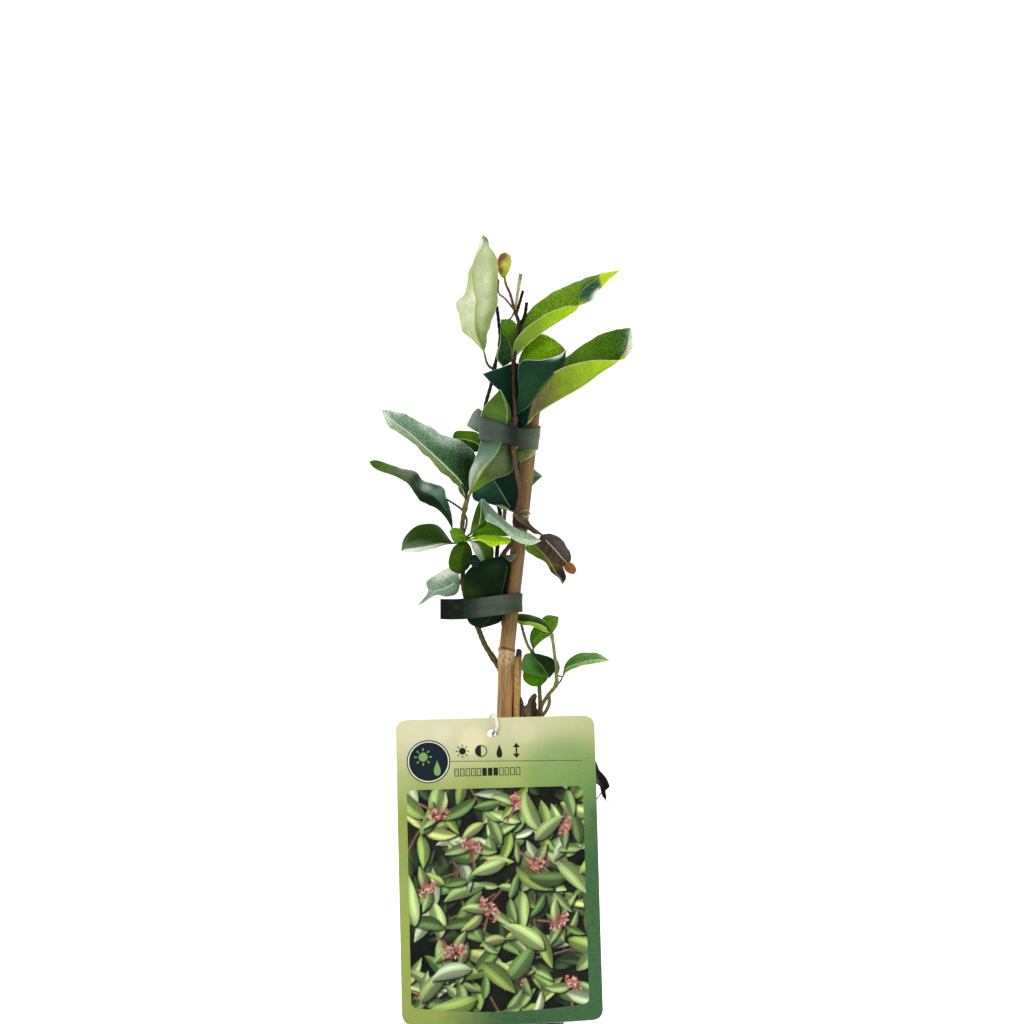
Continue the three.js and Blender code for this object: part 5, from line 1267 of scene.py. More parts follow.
back_shoot = Shoot()
back_shoot.stem(
    BACK_STEM, 1.5, 0.85,
    "4a3626 4f3a2a 3c2c24 34261e 3a2a22 7a6448 4a3a2c 40302a 3c2c2a 4a3834 3c2c2c 2c2424",
    knots=[(-8, 6.2, 286), (-2.6, 3.6, 328), (0, 3.2, 340.5)],
)
back_shoot.stem(
    [(-0.8, 7, 246), (1.6, 6.6, 251), (2.4, 6.4, 258), (1.8, 6.6, 266)], 1.1, 1.0,
    "6a5c40 9a8c68 8a8058 4c4434",
)
# Painted shadow: the patch 4c6c58 near the tip is the shadow under the curled tip.
back_shoot.leaf(
    PALE_TALL, [(-2.6, 3.6, 328), (-4.6, 1.4, 328.2), (-6.6, -0.6, 330.6)], 0.75,
    left="84984c 9cb060 b4c484 c4d094 ccd8a4 c8d49c a4b884 84a850",
    right="98a864 b4c084 ccd4ac dce2c4 d0d8a0 e4e8cc f0f4ea 98b45c", rim="e8ecd8", edge=0.6,
    rib="8c9c5c", veins=0.3, gloss=0.3, mottle=0.18, waves=0.9,
    patches=[(-0.5, 0.89, 0.5, 0.05, "4c6c58", 0.95), (0.8, 0.9, 0.4, 0.07, "f4f8f4", 1.0),
        (0.0, 1.0, 3.0, 0.06, "548414", 1.0), (-0.7, 0.2, 0.4, 0.16, "9cb468", 0.7),
        (0.5, 0.6, 0.4, 0.14, "aabf7c", 0.7), (-0.4, 0.52, 0.28, 0.34, "dfe8c4", 0.75),
        (-0.95, 0.48, 0.22, 0.26, "8ca064", 0.7)], stalk_colours="6c4c34 8c7c50 a4b068",
)
back_shoot.leaf(
    BEHIND_GREEN, [(-8, 6.2, 285)], 0.7, left="1c3c0c 284c0c 24440c", right="3c640c 4c780c 2c540c",
    rim="6c8c30", mottle=0.6, veins=0.1,
)
back_shoot.build("back_shoot", "shoot_back")

# ---- Low right shoot ----------------------------------------------------------------
# A young side shoot that rises from the soil on the right, forks under the node of the
# cane and carries small soft leaves.
ROUNDED = leaf_table("""
    16 -1.4 185.6
    20.5 -1.6 184.8, 17.6 -3.4 182.6, 12.2 -4 184.6
    26.6 -0.6 182.2, 20.6 -4 179.4, 11 -5.4 177
    27.5 -1 177, 23.2 -3.6 175.6, 16.6 -5.4 174.4
    24.8 -3 173.2
""")
BRIGHT_BEHIND = leaf_table("""
    20.2 -0.6 168.6
    15 -2.6 169.4, 17.6 -1.8 173, 24 -0.6 173.6
    11.6 -3.4 172.6, 14 -2.6 176, 20 -1 178
    11.8 -2.8 177.5
""")
TINY_DARK = leaf_table("""
    28.6 0.6 173.6
    28.2 0.9 178.6, 29 0.7 178.4, 29.9 0.9 178
    28.6 1 182.8
""")
DROOPING = leaf_table("""
    25.9 -0.2 195.4
    21.6 -0.6 196.4, 21.6 -1.4 199, 22 1.4 201.8
    15.8 1.2 199, 15.8 1 200.8, 15.6 3.8 204.4
    9.8 5 199.8, 9.6 5.2 201.4, 9.4 6.2 205
    6.8 6 203
""")
RISING = leaf_table("""
    16.6 2 187
    14.9 4.6 192, 17 3.6 190.8, 18.2 2.6 189
    15.7 5.8 196.4, 19.4 4.4 194.4, 21.6 3.2 192
    19.4 6.4 200.8, 22.6 4.8 198.2, 25.4 3.4 194.6
    23.4 5.6 204.2, 26 4.4 201.6, 28.8 3 199.4
    29.4 3.4 203.6
""")
ARCHING = leaf_table("""
    31.3 -0.2 173.6
    33.2 1.6 181, 33.2 -1 177.8, 33.6 -3 176.2
    39.6 2.4 185.2, 40 -2 180.6, 40 -4.6 179
    48.4 1.8 185.4, 48 -2 182.2, 48.4 -4 180.6
    55.1 -1.4 181.6
""")

low_shoot = Shoot()
low_shoot.stem(
    [(17, 4, 57.3), (17, 4, 80), (17, 4, 91), (17.4, 3, 120), (19, 1, 142), (20, 0.6, 156),
        (19.8, 0.6, 166), (18.6, 1, 176), (16.2, 1, 186)], 1.7, 0.9,
    "4a3626 54402c 5a4a30 5f4e34 746444 7c7c4c 6c7c40 84985c", knots=[(16.2, 1, 185.4),
        (20, 0.6, 156)],
)
low_shoot.stem(
    [(20, 0.6, 155), (21, 0, 159.5), (24, -0.2, 164.4), (28, 0, 169.6), (28, 0, 176),
        (27, -0.2, 187), (25.8, -0.2, 195.2)], 1.0, 0.8,
    "746444 8c8054 94985c 8ca064 8ca468 9cb078", knots=[(28, 0, 170), (25.9, -0.2, 194.4)],
)
low_shoot.stem(
    [(24.4, -0.2, 164.6), (24.6, -1.8, 160.4), (22.6, -2.6, 156), (19.8, -1.6, 153),
        (18.8, 1.4, 144)], 0.95, 0.9, "8c8054 7c6c48 6c5c3c",
)
low_shoot.stem(
    [(16.2, 1, 185.6), (13.8, 2.8, 189.6), (11.9, 4.4, 195), (10.4, 6.6, 201)], 0.8, 0.7,
    "848c58 7c7c50",
)
low_shoot.stem([(28, 0, 174.4), (29.8, -0.1, 174), (31.6, -0.2, 173.4)], 0.5, 0.45, "a0ac78 7a8448")
low_shoot.leaf(
    ROUNDED, [(16.2, 1, 185.8), (16.2, -0.4, 186.2)], 0.5, left="14280c 14240c 24280f",
    right="2c541c 3a601f 34600c", rim="7c9460", edge=0.15, veins=0.05, rib="5c7c4c", mottle=0.35,
    patches=[(0.8, 0.5, 0.35, 0.4, "4c7c3c", 0.7), (0.12, 0.62, 0.3, 0.25, "1c340c", 0.8)],
)
low_shoot.leaf(
    BRIGHT_BEHIND, [(19.8, 0.6, 166.4)], 0.6, left="406c08 4c7c0c 305408",
    right="386408 44740c 2c5008", rim="5c8c1c", rib="5c8c1c", edge=0.1, veins=0.05, mottle=0.4,
)
low_shoot.leaf(TINY_DARK, left="1a3418 24441c", right="1a3418 24441c")
low_shoot.leaf(
    DROOPING, [(25.9, -0.2, 194.4)], 0.6, left="7c9c20 8cb028 84a42c", right="1c3c0c 24440f 2c4c1c",
    rim="dde6d8", edge=0.5, veins=0.05, mottle=0.3, patches=[(0.85, 0.7, 0.4, 0.4, "4c6c34", 0.7)],
)
low_shoot.leaf(
    RISING, [(16.2, 1, 185.4)], 0.6, left="3c640c 44700f 54801f", right="4c7814 547c18 5c8820",
    rim="7c9c4c", rib="6c9438", veins=0.1, mottle=0.6,
)
low_shoot.leaf(
    ARCHING, [(28, 0, 169.2), (30.2, 0, 171.4)], 0.5, left="34581f 446c2c 547c3c 7c9c58",
    right="4c7830 6c9448 84a85c a8c088", rim="b4c89c", edge=(0.3, 0.6, 0.8), veins=0.15, mottle=0.9,
)
low_shoot.build("low_shoot", "shoot_low_right")

# ---- Dead growth --------------------------------------------------------------------
# Dry remains of last year: a withered leaf still on its stalk beside the cane, another
# low on the right, a twig with two dry scraps, and the stub of an old stem cut short.
WITHERED = leaf_table("""
    20.6 -6.5 244.8
    25.6 -4.6 245, 23.6 -7.8 241.2, 18.8 -8.4 239.8
    32.4 -4.4 240.6, 27.8 -8.8 236.8, 23 -8 234.2
    34.8 -4.8 235.6, 31 -8.4 233, 27.4 -7.4 230.6
    35.2 -5.6 231.8, 33 -7.4 231, 31 -6.8 228.8
    33.6 -6.8 229
""")
SHEATH = leaf_table("""
    6.2 -10.4 255.4
    9.8 -9.4 254.6, 8.6 -10.8 252.4, 7.2 -9.8 249
    13.8 -8 251.8, 12.4 -9.6 249.8, 11.2 -8.6 247.4
    15.4 -7.2 249.4, 14.9 -8 248.4, 14.3 -7.4 247
    18.2 -6.8 247.6, 17.6 -7.4 246.4, 17 -6.8 245.4
    21.6 -6.6 244.4
""")
WITHERED_TIP = leaf_table("""
    32.4 -7 231.4
    36 -6.2 230.4, 34 -7.8 229.4, 32 -6.8 227.8
    38 -6 226.8, 35.8 -7.6 226.6, 34.4 -6.4 225.4
    37 -6.4 225
""")
WITHERED_LOW = leaf_table("""
    42 -0.4 137.6
    46.4 -1.2 133.4, 44.4 -2.4 131.6, 41.4 0 130.6
    50.6 -1.2 126.2, 47.6 -3 125, 44.6 0.4 123
    54.8 -1.2 118.9, 51.6 -3 118, 49.4 -0.4 119
    52.9 -1.2 116.6, 51.8 -2 116.2, 50.7 -0.8 116
    53.2 -1.2 113.8, 52.4 -2 114, 51.4 -0.8 114.2
    52.8 -1.4 111.8
""")
SCRAP_TALL = leaf_table("""
    15 -2 141
    11.8 -1 148, 14.6 -3.6 149, 18.4 -1.6 148
    12.2 -1.4 156.5, 14.8 -4.4 157, 18.6 -1.8 156.5
    13.8 -1.6 161.2, 15.8 -3.8 162, 18.5 -2 161.2
    15.2 -2.2 164.2, 16.4 -3.2 164.6, 18.3 -2.4 164.2
    17.5 -2.6 165.5
""")
SCRAP_SHORT = leaf_table("""
    12.4 -0.6 141
    9.8 -0.2 149, 11.2 -1.8 150, 13.4 -1 149.6
    9.6 0.2 157, 11 -1.6 158, 13.2 -0.8 157
    9.8 0.2 161.6, 10.8 -1 161.4, 12 -0.6 160.4
    10.4 -0.4 164
""")

DEAD_SKIN = leaf_skin("dry_leaf", light="a8957c", sheen=0.0)
withered = Shoot()
withered.leaf(
    WITHERED, [(14.9, -7.2, 248.4), (17.6, -6.6, 246.4)], 1.0,
    left="423833 3e3430 443b3c 474042 3f3937 362f2b",
    right="3f322e 392d28 3d312a 43342b 3f2f24 34261f", rim="6a5c50", edge=0.2, rib="c4b898",
    under="4a3f3a", waves=0.9, gloss=0.1, veins=0.22, mottle=0.5,
    patches=[(-0.5, 0.45, 0.3, 0.2, "54504e", 0.6), (0.1, 0.8, 0.5, 0.06, "241c1a", 0.7)],
    stalk_colours="5c4a3c 4c3e34",
)
withered.leaf(
    SHEATH, left="6a5848 54463a 4a3c34 463a32 5c4c3e", right="2c221e 1c1614 2a221e 2c2420 3c322a",
    rim="8a7866", edge=0.5, rib="6a5848", under="33281f", waves=3.0, gloss=0.1, veins=0.6,
)
withered.leaf(
    WITHERED_TIP, left="7c5430 8c5c34 8a5832", right="6c4428 84552f 8a5832", rim="5c2420", edge=0.6,
    rib="8a5c38", under="7c5430", waves=0.6, gloss=0.1, veins=0.0,
    patches=[(0.3, 0.5, 0.3, 0.1, "6c2c28", 0.6), (-0.4, 0.7, 0.3, 0.08, "6c2c28", 0.5)],
)
withered.build("withered_leaf", "withered_leaf", DEAD_SKIN)

withered_low = Shoot()
withered_low.leaf(
    WITHERED_LOW, [(19.7, 2.5, 122), (24.6, 1.6, 132), (33, 0.4, 138)], 0.7,
    left="2a2420 3c3630 241e1a 080808 060606 0a0a0a 0a0a0a",
    right="2c2826 605a52 4c443c 100e0c 060606 0a0a0a 0a0a0a", rim="3a342e", edge=0.2, rib="3a342e",
    under="2f2926", waves=1.4, gloss=0.15, mottle=0.7,
    patches=[(0.3, 0.36, 0.3, 0.08, "8c8880", 0.7)], stalk_colours="4a3a2e 3a2e26",
)
withered_low.stem([(52.8, -1.4, 112.2), (55, -1.2, 110.4), (57.6, -1, 108.8)], 0.2, 0.12, "b4c090 dce4c4")
withered_low.stem([(50.8, -1, 115.8), (49.6, -0.4, 114.2), (48, 0.2, 112)], 0.3, 0.2, "2a2622 3a342e")
withered_low.build("withered_leaf_low", "withered_leaf_low", DEAD_SKIN)

scraps = Shoot()
scraps.stem(
    [(13.6, -1.8, 57.3), (13.6, -1.8, 80), (13.6, -1.8, 91), (13.8, -2, 120), (14.4, -2, 145)], 1.2,
    0.9, "4a3a2e 3c2f27 33281f",
)
scraps.leaf(
    SCRAP_TALL, left="4c3e32 54463a 5c4c3e 4a3c32 3c3028",
    right="3c3028 33281f 3a2e26 4a3c30 33281f", rim="7c6854", edge=0.5, rib="6a5848",
    under="33281f", waves=3.5, gloss=0.05, mottle=1.0,
    patches=[(-0.3, 0.35, 0.4, 0.14, "7a6652", 0.7), (0.5, 0.5, 0.4, 0.2, "241c18", 0.7)],
)
scraps.leaf(
    SCRAP_SHORT, left="463a30 4c3e34", right="5c4c3e 4a3c30", rim="6a5846", rib="5f4c3c",
    under="33281f", waves=3.0, gloss=0.05, mottle=1.0,
)
scraps.build("dry_scraps", "dry_scraps", DEAD_SKIN)

STUB_STOPS = [  # height, radius, shift to the right
    (57.3, 2.0, 0), (100, 2.0, 0), (140, 2.0, 0), (172, 1.95, 0.3), (179.5, 2.0, 0.6),
    (182.5, 1.55, 0.95), (184.5, 1.3, 1.2), (186.5, 1.15, 1.3), (187.4, 0.6, 1.3),
]
STUB_X, STUB_Y, STUB_SEAM_Y = 8.1, 2.6, 0.9
STUB_DEEPER = 1.65  # it is this much deeper than wide
STUB_SIDES = 28
stops_z, stops_radius, stops_shift = np.array(STUB_STOPS).T
stub_z = np.linspace(stops_z[0], stops_z[-1], 180)
stub_radius = np.interp(stub_z, stops_z, stops_radius)
stub_shift = np.interp(stub_z, stops_z, stops_shift)
stub_line = np.stack([STUB_X + stub_shift, STUB_Y + stub_shift / 2, stub_z], axis=-1)
stub_turn = np.linspace(0, 2 * math.pi, STUB_SIDES, endpoint=False)[None]
torn = 0.15 * np.clip((stub_z[:, None] - 184.5) / 2.7, 0, 1) * np.cos(3 * stub_turn + 1)
bark_ridges = 0.1 * np.sin(5 * stub_turn + 0.05 * stub_z[:, None]) + 0.06 * np.sin(11 * stub_turn)
stub_dent = bark_ridges - torn
points, faces, place_on = tube(stub_line, stub_radius + 0.15, STUB_SIDES, dent=stub_dent)
points[-STUB_SIDES:, 2] += 0.2 * np.sin(2 * stub_turn[0] + 0.5)
points[:, 1] = STUB_SEAM_Y + (points[:, 1] - STUB_Y) * STUB_DEEPER
stub_share = np.interp(points[:, 2], [57.3, 100, 179, 183, 184.6, 187.8], [0, 0.25, 0.72, 0.8, 1, 1])
stub_tint = shades("6a5038 dcb474 d8b070 c49c64 4a382c", stub_share)
seam = np.clip(1.4 - np.abs(points[:, 0] - 6.6) / 0.3, 0, 1)
seam *= (points[:, 1] < STUB_SEAM_Y) * (points[:, 2] < 186)
stub_tint += 0.85 * seam[:, None] * (np.array(rgb("7a3020")) - stub_tint)
old_bark = stem_skin("old_bark", "b8b0a4")
stub = mesh_piece("old_stub", points, faces, old_bark, tint=stub_tint, place=place_on)
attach(stub, "root")
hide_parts("old_stem_stub")

# ---- Tie tapes ----------------------------------------------------------------------
# Two lengths of stretchy grey-green tie tape, pulled round the cane and the stems and
# pressed together on the left. The film is matt, creased along its length and lets a
# little light through.
UPPER_TAPE = [  # x, y, its edges' heights, and where given, how far right the high edge is
    (-16.8, 5.4, 305.6, 299.4, 3), (-12.4, 6.4, 308, 296.6, 1.4), (-8, 8, 306, 295),
    (0, 8.4, 304, 293), (10, 7.8, 301.5, 290.5), (15.8, 6, 300, 288.5, 0.8),
    (18.4, 3, 299.2, 287.5, 1.3), (18.9, -0.8, 298.4, 287, 1.4), (17.2, -5, 297.9, 287, 1.1),
    (13.2, -9.8, 297.5, 287, 0.4), (7, -13.2, 298.4, 289), (0, -14.8, 300.6, 291),
    (-6, -15.6, 302.2, 291.8), (-9, -15.6, 303, 292), (-10.3, -14.2, 303.4, 292),
    (-10.4, -10.4, 303.6, 292), (-10, -7, 303.6, 292),
]
LOWER_TAPE = [
    (-29.7, -7.9, 212.6, 202.6), (-24, -8.4, 212.6, 202.4), (-19.2, -11.4, 212.5, 202.6),
    (-16, -12.6, 212.8, 202.8), (-8, -10.8, 213.6, 203.8), (1, -7.6, 214.8, 204.8),
    (6.4, -5.4, 215.3, 205.6), (9.8, -3.6, 215.5, 206), (11.1, 0.4, 215.5, 206),
    (9.8, 5, 215.4, 206), (6, 9.6, 215.2, 206), (0.4, 11.6, 214.8, 205.6),
    (-7, 8.8, 214, 204.6), (-13.4, 3.6, 213.4, 203.4), (-18.4, -1, 212.8, 202.8),
    (-21.6, -4.6, 212.6, 202.6), (-25, -6.8, 212.6, 202.6), (-29.6, -6.8, 212.6, 202.6),
]

film, put = principled("tape_film", Roughness=0.45)
tint, spot = stored(film, "tint"), stored(film, "place", vector=True)
creases = noise(film, scaled(film, spot, 0.12, 1.0, 1.0), 0.35, 3.0, 0.5)
cloud = noise(film, spot, 0.25, 3.0, 0.6)
# Painted shade: the film is painted darker in the folds of its creases.
film_dark = blend(film, 1.0, tint, rgb("8c948c"), "MULTIPLY")
colour = blend(film, spread(film, creases, 0.3, 0.7, 0.7, 1.0), film_dark, tint)
colour = blend(film, spread(film, cloud, 0.5, 0.8, 0.0, 0.12), colour, rgb("7f8c80"))
put(Base_Color=colour, Roughness=spread(film, creases, 0.3, 0.7, 0.45, 0.6))
put(Normal=bump(film, creases, 0.2, 0.2), Specular_IOR_Level=0.1)


def tie_tape(name, stops, colours, cad_node):
    """A strip between its low and its high smooth curve, creased lengthwise."""
    table = np.array([(*s, 0) if len(s) == 4 else s for s in stops], float)
    steps, wide, half_thick = 220, 9, 0.15
    at = np.linspace(0, 1, steps)
    high = curve(np.stack([table[:, 0] + table[:, 4], table[:, 1], table[:, 2]], -1), at)
    low = curve(table[:, [0, 1, 3]], at)
    share = np.linspace(0, 1, wide)[None, :, None]
    strip = low[:, None] * (1 - share) + high[:, None] * share
    normal = np.cross(np.gradient(strip, axis=0), np.gradient(strip, axis=1))
    normal /= np.linalg.norm(normal, axis=-1, keepdims=True)
    along = distances((low + high) / 2)
    fold = 0.07 * np.sin(2 * math.pi * (1.5 * share[..., 0] + along[:, None] / 47.0))
    fold = fold + 0.04 * np.sin(2 * math.pi * (3.3 * share[..., 0] - along[:, None] / 31.0))
    skins = [strip + normal * (fold + side)[..., None] for side in (half_thick, -half_thick)]
    per_face = steps * wide
    loop, after = edge_loop(steps, wide)
    border = np.stack([loop, loop + per_face, after + per_face, after], axis=-1)
    faces = [grid_faces(steps, wide), grid_faces(steps, wide, per_face)[:, ::-1], border]
    tint = np.tile(np.repeat(shades(colours, at), wide, axis=0), (2, 1))
    rise = np.linalg.norm(high - low, axis=1)[:, None] * share[..., 0]
    spot = np.stack([along[:, None] + 0 * rise, rise, 0 * rise], -1).reshape(-1, 3)
    points = np.concatenate([skin.reshape(-1, 3) for skin in skins])
    obj = mesh_piece(name, points, faces, film, tint=tint, place=np.tile(spot, (2, 1)))
    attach(obj, "root")
    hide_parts(cad_node)


# The colour stops along each tape paint how light falls on it: near black where the tape lies in shade,
# paler grey-green where light comes through the film.
UPPER_STOPS = (
    "a4b8ac 8ca094 6c7c74 4c5850 3c4640 4b554d 54604f 66745c 54624c 3a463a 1c2420 465046 "
    "485248 4c5850 5c6c64 4c5850 3c4640"
)
LOWER_STOPS = (
    "0c120c 0e150e 10180f 1f2820 444f46 475147 394334 364231 353f33 343e34 3c463e 3c463e "
    "343e34 2c342c 1f271f 141a14 0e140e 0c120c"
)
tie_tape("tape_upper", UPPER_TAPE, UPPER_STOPS, "tie_tape_upper")
tie_tape("tape_lower", LOWER_TAPE, LOWER_STOPS, "tie_tape_lower")

# ---- Label --------------------------------------------------------------------------
# A printed plastic card that hangs in front of the pot: a colour gradient for a frame, a
# window with a picture of leafy twigs and pink blossom, and plain signs for care: a disc
# with sun and drop, half shade, water, height, and twelve boxes for the months in flower.
CARD_HALF = (49.0, 75.25)
CARD_THICK = 0.9
CARD_CORNER = 6.0
CARD_BOW = 2.0
CARD_MIDDLE = np.array([-0.5, -48.4, 80.8])
CARD_LEAN, CARD_ROLL = math.radians(78.0), math.radians(1.5)
WINDOW_X = (-44.3, 42.4)
WINDOW_TOP, WINDOW_LOW, WINDOW_CORNER = 40.2, -67.4, 3.2
DISC_X, DISC_Y, DISC_RADIUS = -33.2, 54.1, 10.2
EYE, EYE_HALF = (-1.3, 67.4), (2.6, 2.0)


def on_card(x, y, out):
    """Card places in space: turned in its own plane by the roll, then raised by the lean."""
    x, y, out = np.broadcast_arrays(np.asarray(x, float), y, out)
    across = x * math.cos(CARD_ROLL) - y * math.sin(CARD_ROLL)
    up = x * math.sin(CARD_ROLL) + y * math.cos(CARD_ROLL)
    back = up * math.cos(CARD_LEAN) - out * math.sin(CARD_LEAN)
    rise = up * math.sin(CARD_LEAN) + out * math.cos(CARD_LEAN)
    return np.stack([across, back, rise], axis=-1) + CARD_MIDDLE


def off_card(points):
    """Places in space as card places: the way of on_card back again."""
    side, back, rise = (points - CARD_MIDDLE).T
    up = back * math.cos(CARD_LEAN) + rise * math.sin(CARD_LEAN)
    out = rise * math.cos(CARD_LEAN) - back * math.sin(CARD_LEAN)
    x = side * math.cos(CARD_ROLL) + up * math.sin(CARD_ROLL)
    y = up * math.cos(CARD_ROLL) - side * math.sin(CARD_ROLL)
    return np.stack([x, y, out], axis=-1)


def bend(p0, p1, p2, count=12):
    """Points along a quadratic curve from p0 towards p1 to p2, without its last one."""
    t = np.linspace(0, 1, count, endpoint=False)[:, None]
    p0, p1, p2 = (np.array(p, float) for p in (p0, p1, p2))
    return (1 - t) ** 2 * p0 + 2 * t * (1 - t) * p1 + t**2 * p2


w, h, r = *CARD_HALF, CARD_CORNER  # half width, half height and corner, for short
outline = np.concatenate(
    [
        bend((-w, -h + r), (-w, -h), (-w + r, -h)),
        bend((-w + r, -h), (0, -h - CARD_BOW), (w - r, -h), 40),
        bend((w - r, -h), (w, -h), (w, -h + r)),
        bend((w, h - r), (w, h), (w - r, h)),
        bend((-w + r, h), (-w, h), (-w, h - r)),
    ]
)
card_mat, put = principled("label_print", Roughness=0.4, Specular_IOR_Level=0.12)
spot = stored(card_mat, "place", vector=True)
x, y, side = axes(card_mat, spot)
soft = noise(card_mat, spot, 0.05, 2.0, 0.5)
blur = calc(card_mat, "MULTIPLY", calc(card_mat, "SUBTRACT", soft, 0.5), 40.0)
slanting = calc(card_mat, "MULTIPLY_ADD", y, -0.48, calc(card_mat, "MULTIPLY", blur, 0.6))
slanting = calc(card_mat, "MULTIPLY_ADD", x, 0.88, slanting)
greens = blend(card_mat, spread(card_mat, slanting, 2.0, 38.0), rgb("8fa040"), rgb("1c561c"))
rightward = spread(card_mat, calc(card_mat, "ADD", x, blur), -30.0, 60.0)
cream = blend(card_mat, rightward, rgb("d2cea8"), rgb("bcbe8c"))
upward = calc(card_mat, "MULTIPLY_ADD", x, -0.1, y)
upward = calc(card_mat, "ADD", upward, calc(card_mat, "MULTIPLY", blur, 0.5))
colour = blend(card_mat, spread(card_mat, upward, 36.0, 76.0), greens, cream)
for spot_x, spot_y, reach, code, strength in (
    (-11.0, 64.0, 9.0, "e4d8ac", 0.7),
    (31.0, 58.0, 7.0, "a9b27c", 0.5),
    (-26.0, 68.5, 6.0, "d8d8b8", 0.5),
    (14.0, 68.0, 8.0, "d2cea4", 0.45),
    (6.0, 47.0, 12.0, "9aae62", 0.4),
    (34.0, 45.0, 27.0, "5c8c40", 0.6),
    (-47.0, 14.0, 24.0, "7c9038", 0.4),
):
    gap = node(card_mat, "VectorMath", {0: spot, 1: (spot_x, spot_y, 0.0)}, operation="SUBTRACT")
    gap = scaled(card_mat, gap, 1.0, 1.0, 0.0)
    gap = node(card_mat, "VectorMath", {0: gap}, out=1, operation="LENGTH")
    cloud = spread(card_mat, gap, reach, reach * 0.45, 0.0, strength)
    colour = blend(card_mat, cloud, colour, rgb(code))
grain = noise(card_mat, spot, 3.0, 2.0, 0.6)
colour = blend(card_mat, spread(card_mat, grain, 0.3, 0.7, 0.0, 0.08), colour, rgb("ffffff"))
front_side = spread(card_mat, side, 0.5, 0.8)
put(Base_Color=blend(card_mat, front_side, rgb("eceadf"), colour))
put(Normal=bump(card_mat, noise(card_mat, spot, 1.2, 2.0), 0.08, 0.1))

count = len(outline)
ids = np.arange(count)
inset = outline * (1 - 0.12 / np.array(CARD_HALF))
levels = [(inset, 0.0), (outline, 0.1), (outline, CARD_THICK - 0.1), (inset, CARD_THICK)]
card_points = np.concatenate([on_card(o[:, 0], o[:, 1], out) for o, out in levels])
card_place = np.concatenate([np.column_stack([o, np.full(count, out)]) for o, out in levels])
card = mesh_piece(
    "label_body",
    card_points,
    [grid_faces(4, count, wrap=True), ids[None, ::-1], ids[None] + 3 * count],
    card_mat,
    smooth=False,
    place=card_place,
)
turn = np.linspace(0, 2 * math.pi, 40, endpoint=False)
eye_x, eye_y = EYE[0] + EYE_HALF[0] * np.cos(turn), EYE[1] + EYE_HALF[1] * np.sin(turn)
cut_hole(card, card_mat, np.concatenate([on_card(eye_x, eye_y, out) for out in (-3.0, 4.0)]))
# Every point of the card, also those round its eye, is told its place on the card.
settled = np.empty(3 * len(card.data.vertices), np.float32)
card.data.vertices.foreach_get("co", settled)
if "place" not in card.data.attributes:
    card.data.attributes.new("place", "FLOAT_VECTOR", "POINT")
card.data.attributes["place"].data.foreach_set(
    "vector", off_card(settled.reshape(-1, 3) / MM).astype(np.float32).ravel()
)
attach(card, "root")
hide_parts("label_card")

# The picture is laid out on a fine sheet of ink in the window, leaf over leaf.
ROWS, COLUMNS = 292, 236
WINDOW_BOW = 2.6
depth = np.linspace(0, 1, ROWS)[:, None]
from_edge = np.minimum(depth, 1 - depth) * (WINDOW_TOP - WINDOW_LOW)
corner_inset = WINDOW_CORNER - np.sqrt(
    np.clip(WINDOW_CORNER**2 - np.clip(WINDOW_CORNER - from_edge, 0, None) ** 2, 0, None)
)
side_share = np.linspace(-1, 1, COLUMNS)[None]
middle_x, half_x = (WINDOW_X[0] + WINDOW_X[1]) / 2, (WINDOW_X[1] - WINDOW_X[0]) / 2
ink_x = middle_x + (half_x - corner_inset) * side_share
ink_y = WINDOW_TOP + (WINDOW_LOW - WINDOW_BOW * (1 - side_share**2) - WINDOW_TOP) * depth
draw = np.random.default_rng(12)
picture = np.zeros((ROWS, COLUMNS, 3))
for size, share in ((34.0, 0.5), (13.0, 0.3), (5.0, 0.2)):
    wave = np.zeros_like(ink_x)
    for _ in range(5):
        turn, phase = draw.uniform(0, 6.28, 2)
        way = ink_x * math.cos(turn) + ink_y * math.sin(turn)
        wave += np.sin(2 * math.pi * way / size + phase)
    picture += share * (0.5 + 0.2 * wave)[..., None]
ground = np.array([[0.04, 0.06, 0.06], [0.16, 0.17, 0.11]])
picture = ground[0] + np.clip(picture, 0, 1) * (ground[1] - ground[0])


def lay(mask, colour):
    """Ink over the picture where the mask, 0 to 1, says so."""
    picture[:] = picture + mask[..., None] * (colour - picture)


def printed_leaf(x, y, length, width, turn, colour, sharp=0.25):
    """A lance-shaped leaf: its halves two tones, a pale rib and a shadow under it."""
    curl, light = draw.uniform(-0.4, 0.4), draw.choice([-1, 1])
    colour = np.array(colour) / 255 * draw.uniform(0.82, 1.12)
    for shift, shadow in ((0.9, True), (0.0, False)):
        dx, dy = ink_x - x - shift, ink_y - y + shift
        along = (dx * math.cos(turn) + dy * math.sin(turn)) / length
        off = -dx * math.sin(turn) + dy * math.cos(turn)
        off = off - curl * length * (along - along**2)
        inside = np.clip(along, 0, 1)
        half = width * np.sin(math.pi * inside**0.8) ** 0.85
        mask = np.clip((half - np.abs(off)) / (sharp + 0.9 * shadow) + 0.5, 0, 1)
        mask *= (along > 0) & (along < 1)
        if shadow:
            lay(mask * 0.7, np.array([0.03, 0.05, 0.04]))
            continue
        from_rib = np.abs(off) / width
        tone = 1 + light * 0.16 * np.sign(off) * np.clip(from_rib / 0.1, 0, 1) - 0.22 * from_rib**2
        tone += 0.22 * np.exp(-(((off / width - light * 0.45) / 0.22) ** 2)) * np.sin(math.pi * inside)
        tone -= 0.35 * np.exp(-inside / 0.12) + 0.1 * inside
        tone += 0.02 * np.sin(2 * math.pi * (along * length - 0.8 * np.abs(off)) / 2.2)
        lay(mask, colour * tone[..., None] + 0.015)
        lay(mask * np.clip(1 - np.abs(off) / 0.3, 0, 1) * 0.4, np.minimum(colour * 1.35 + 0.06, 1))


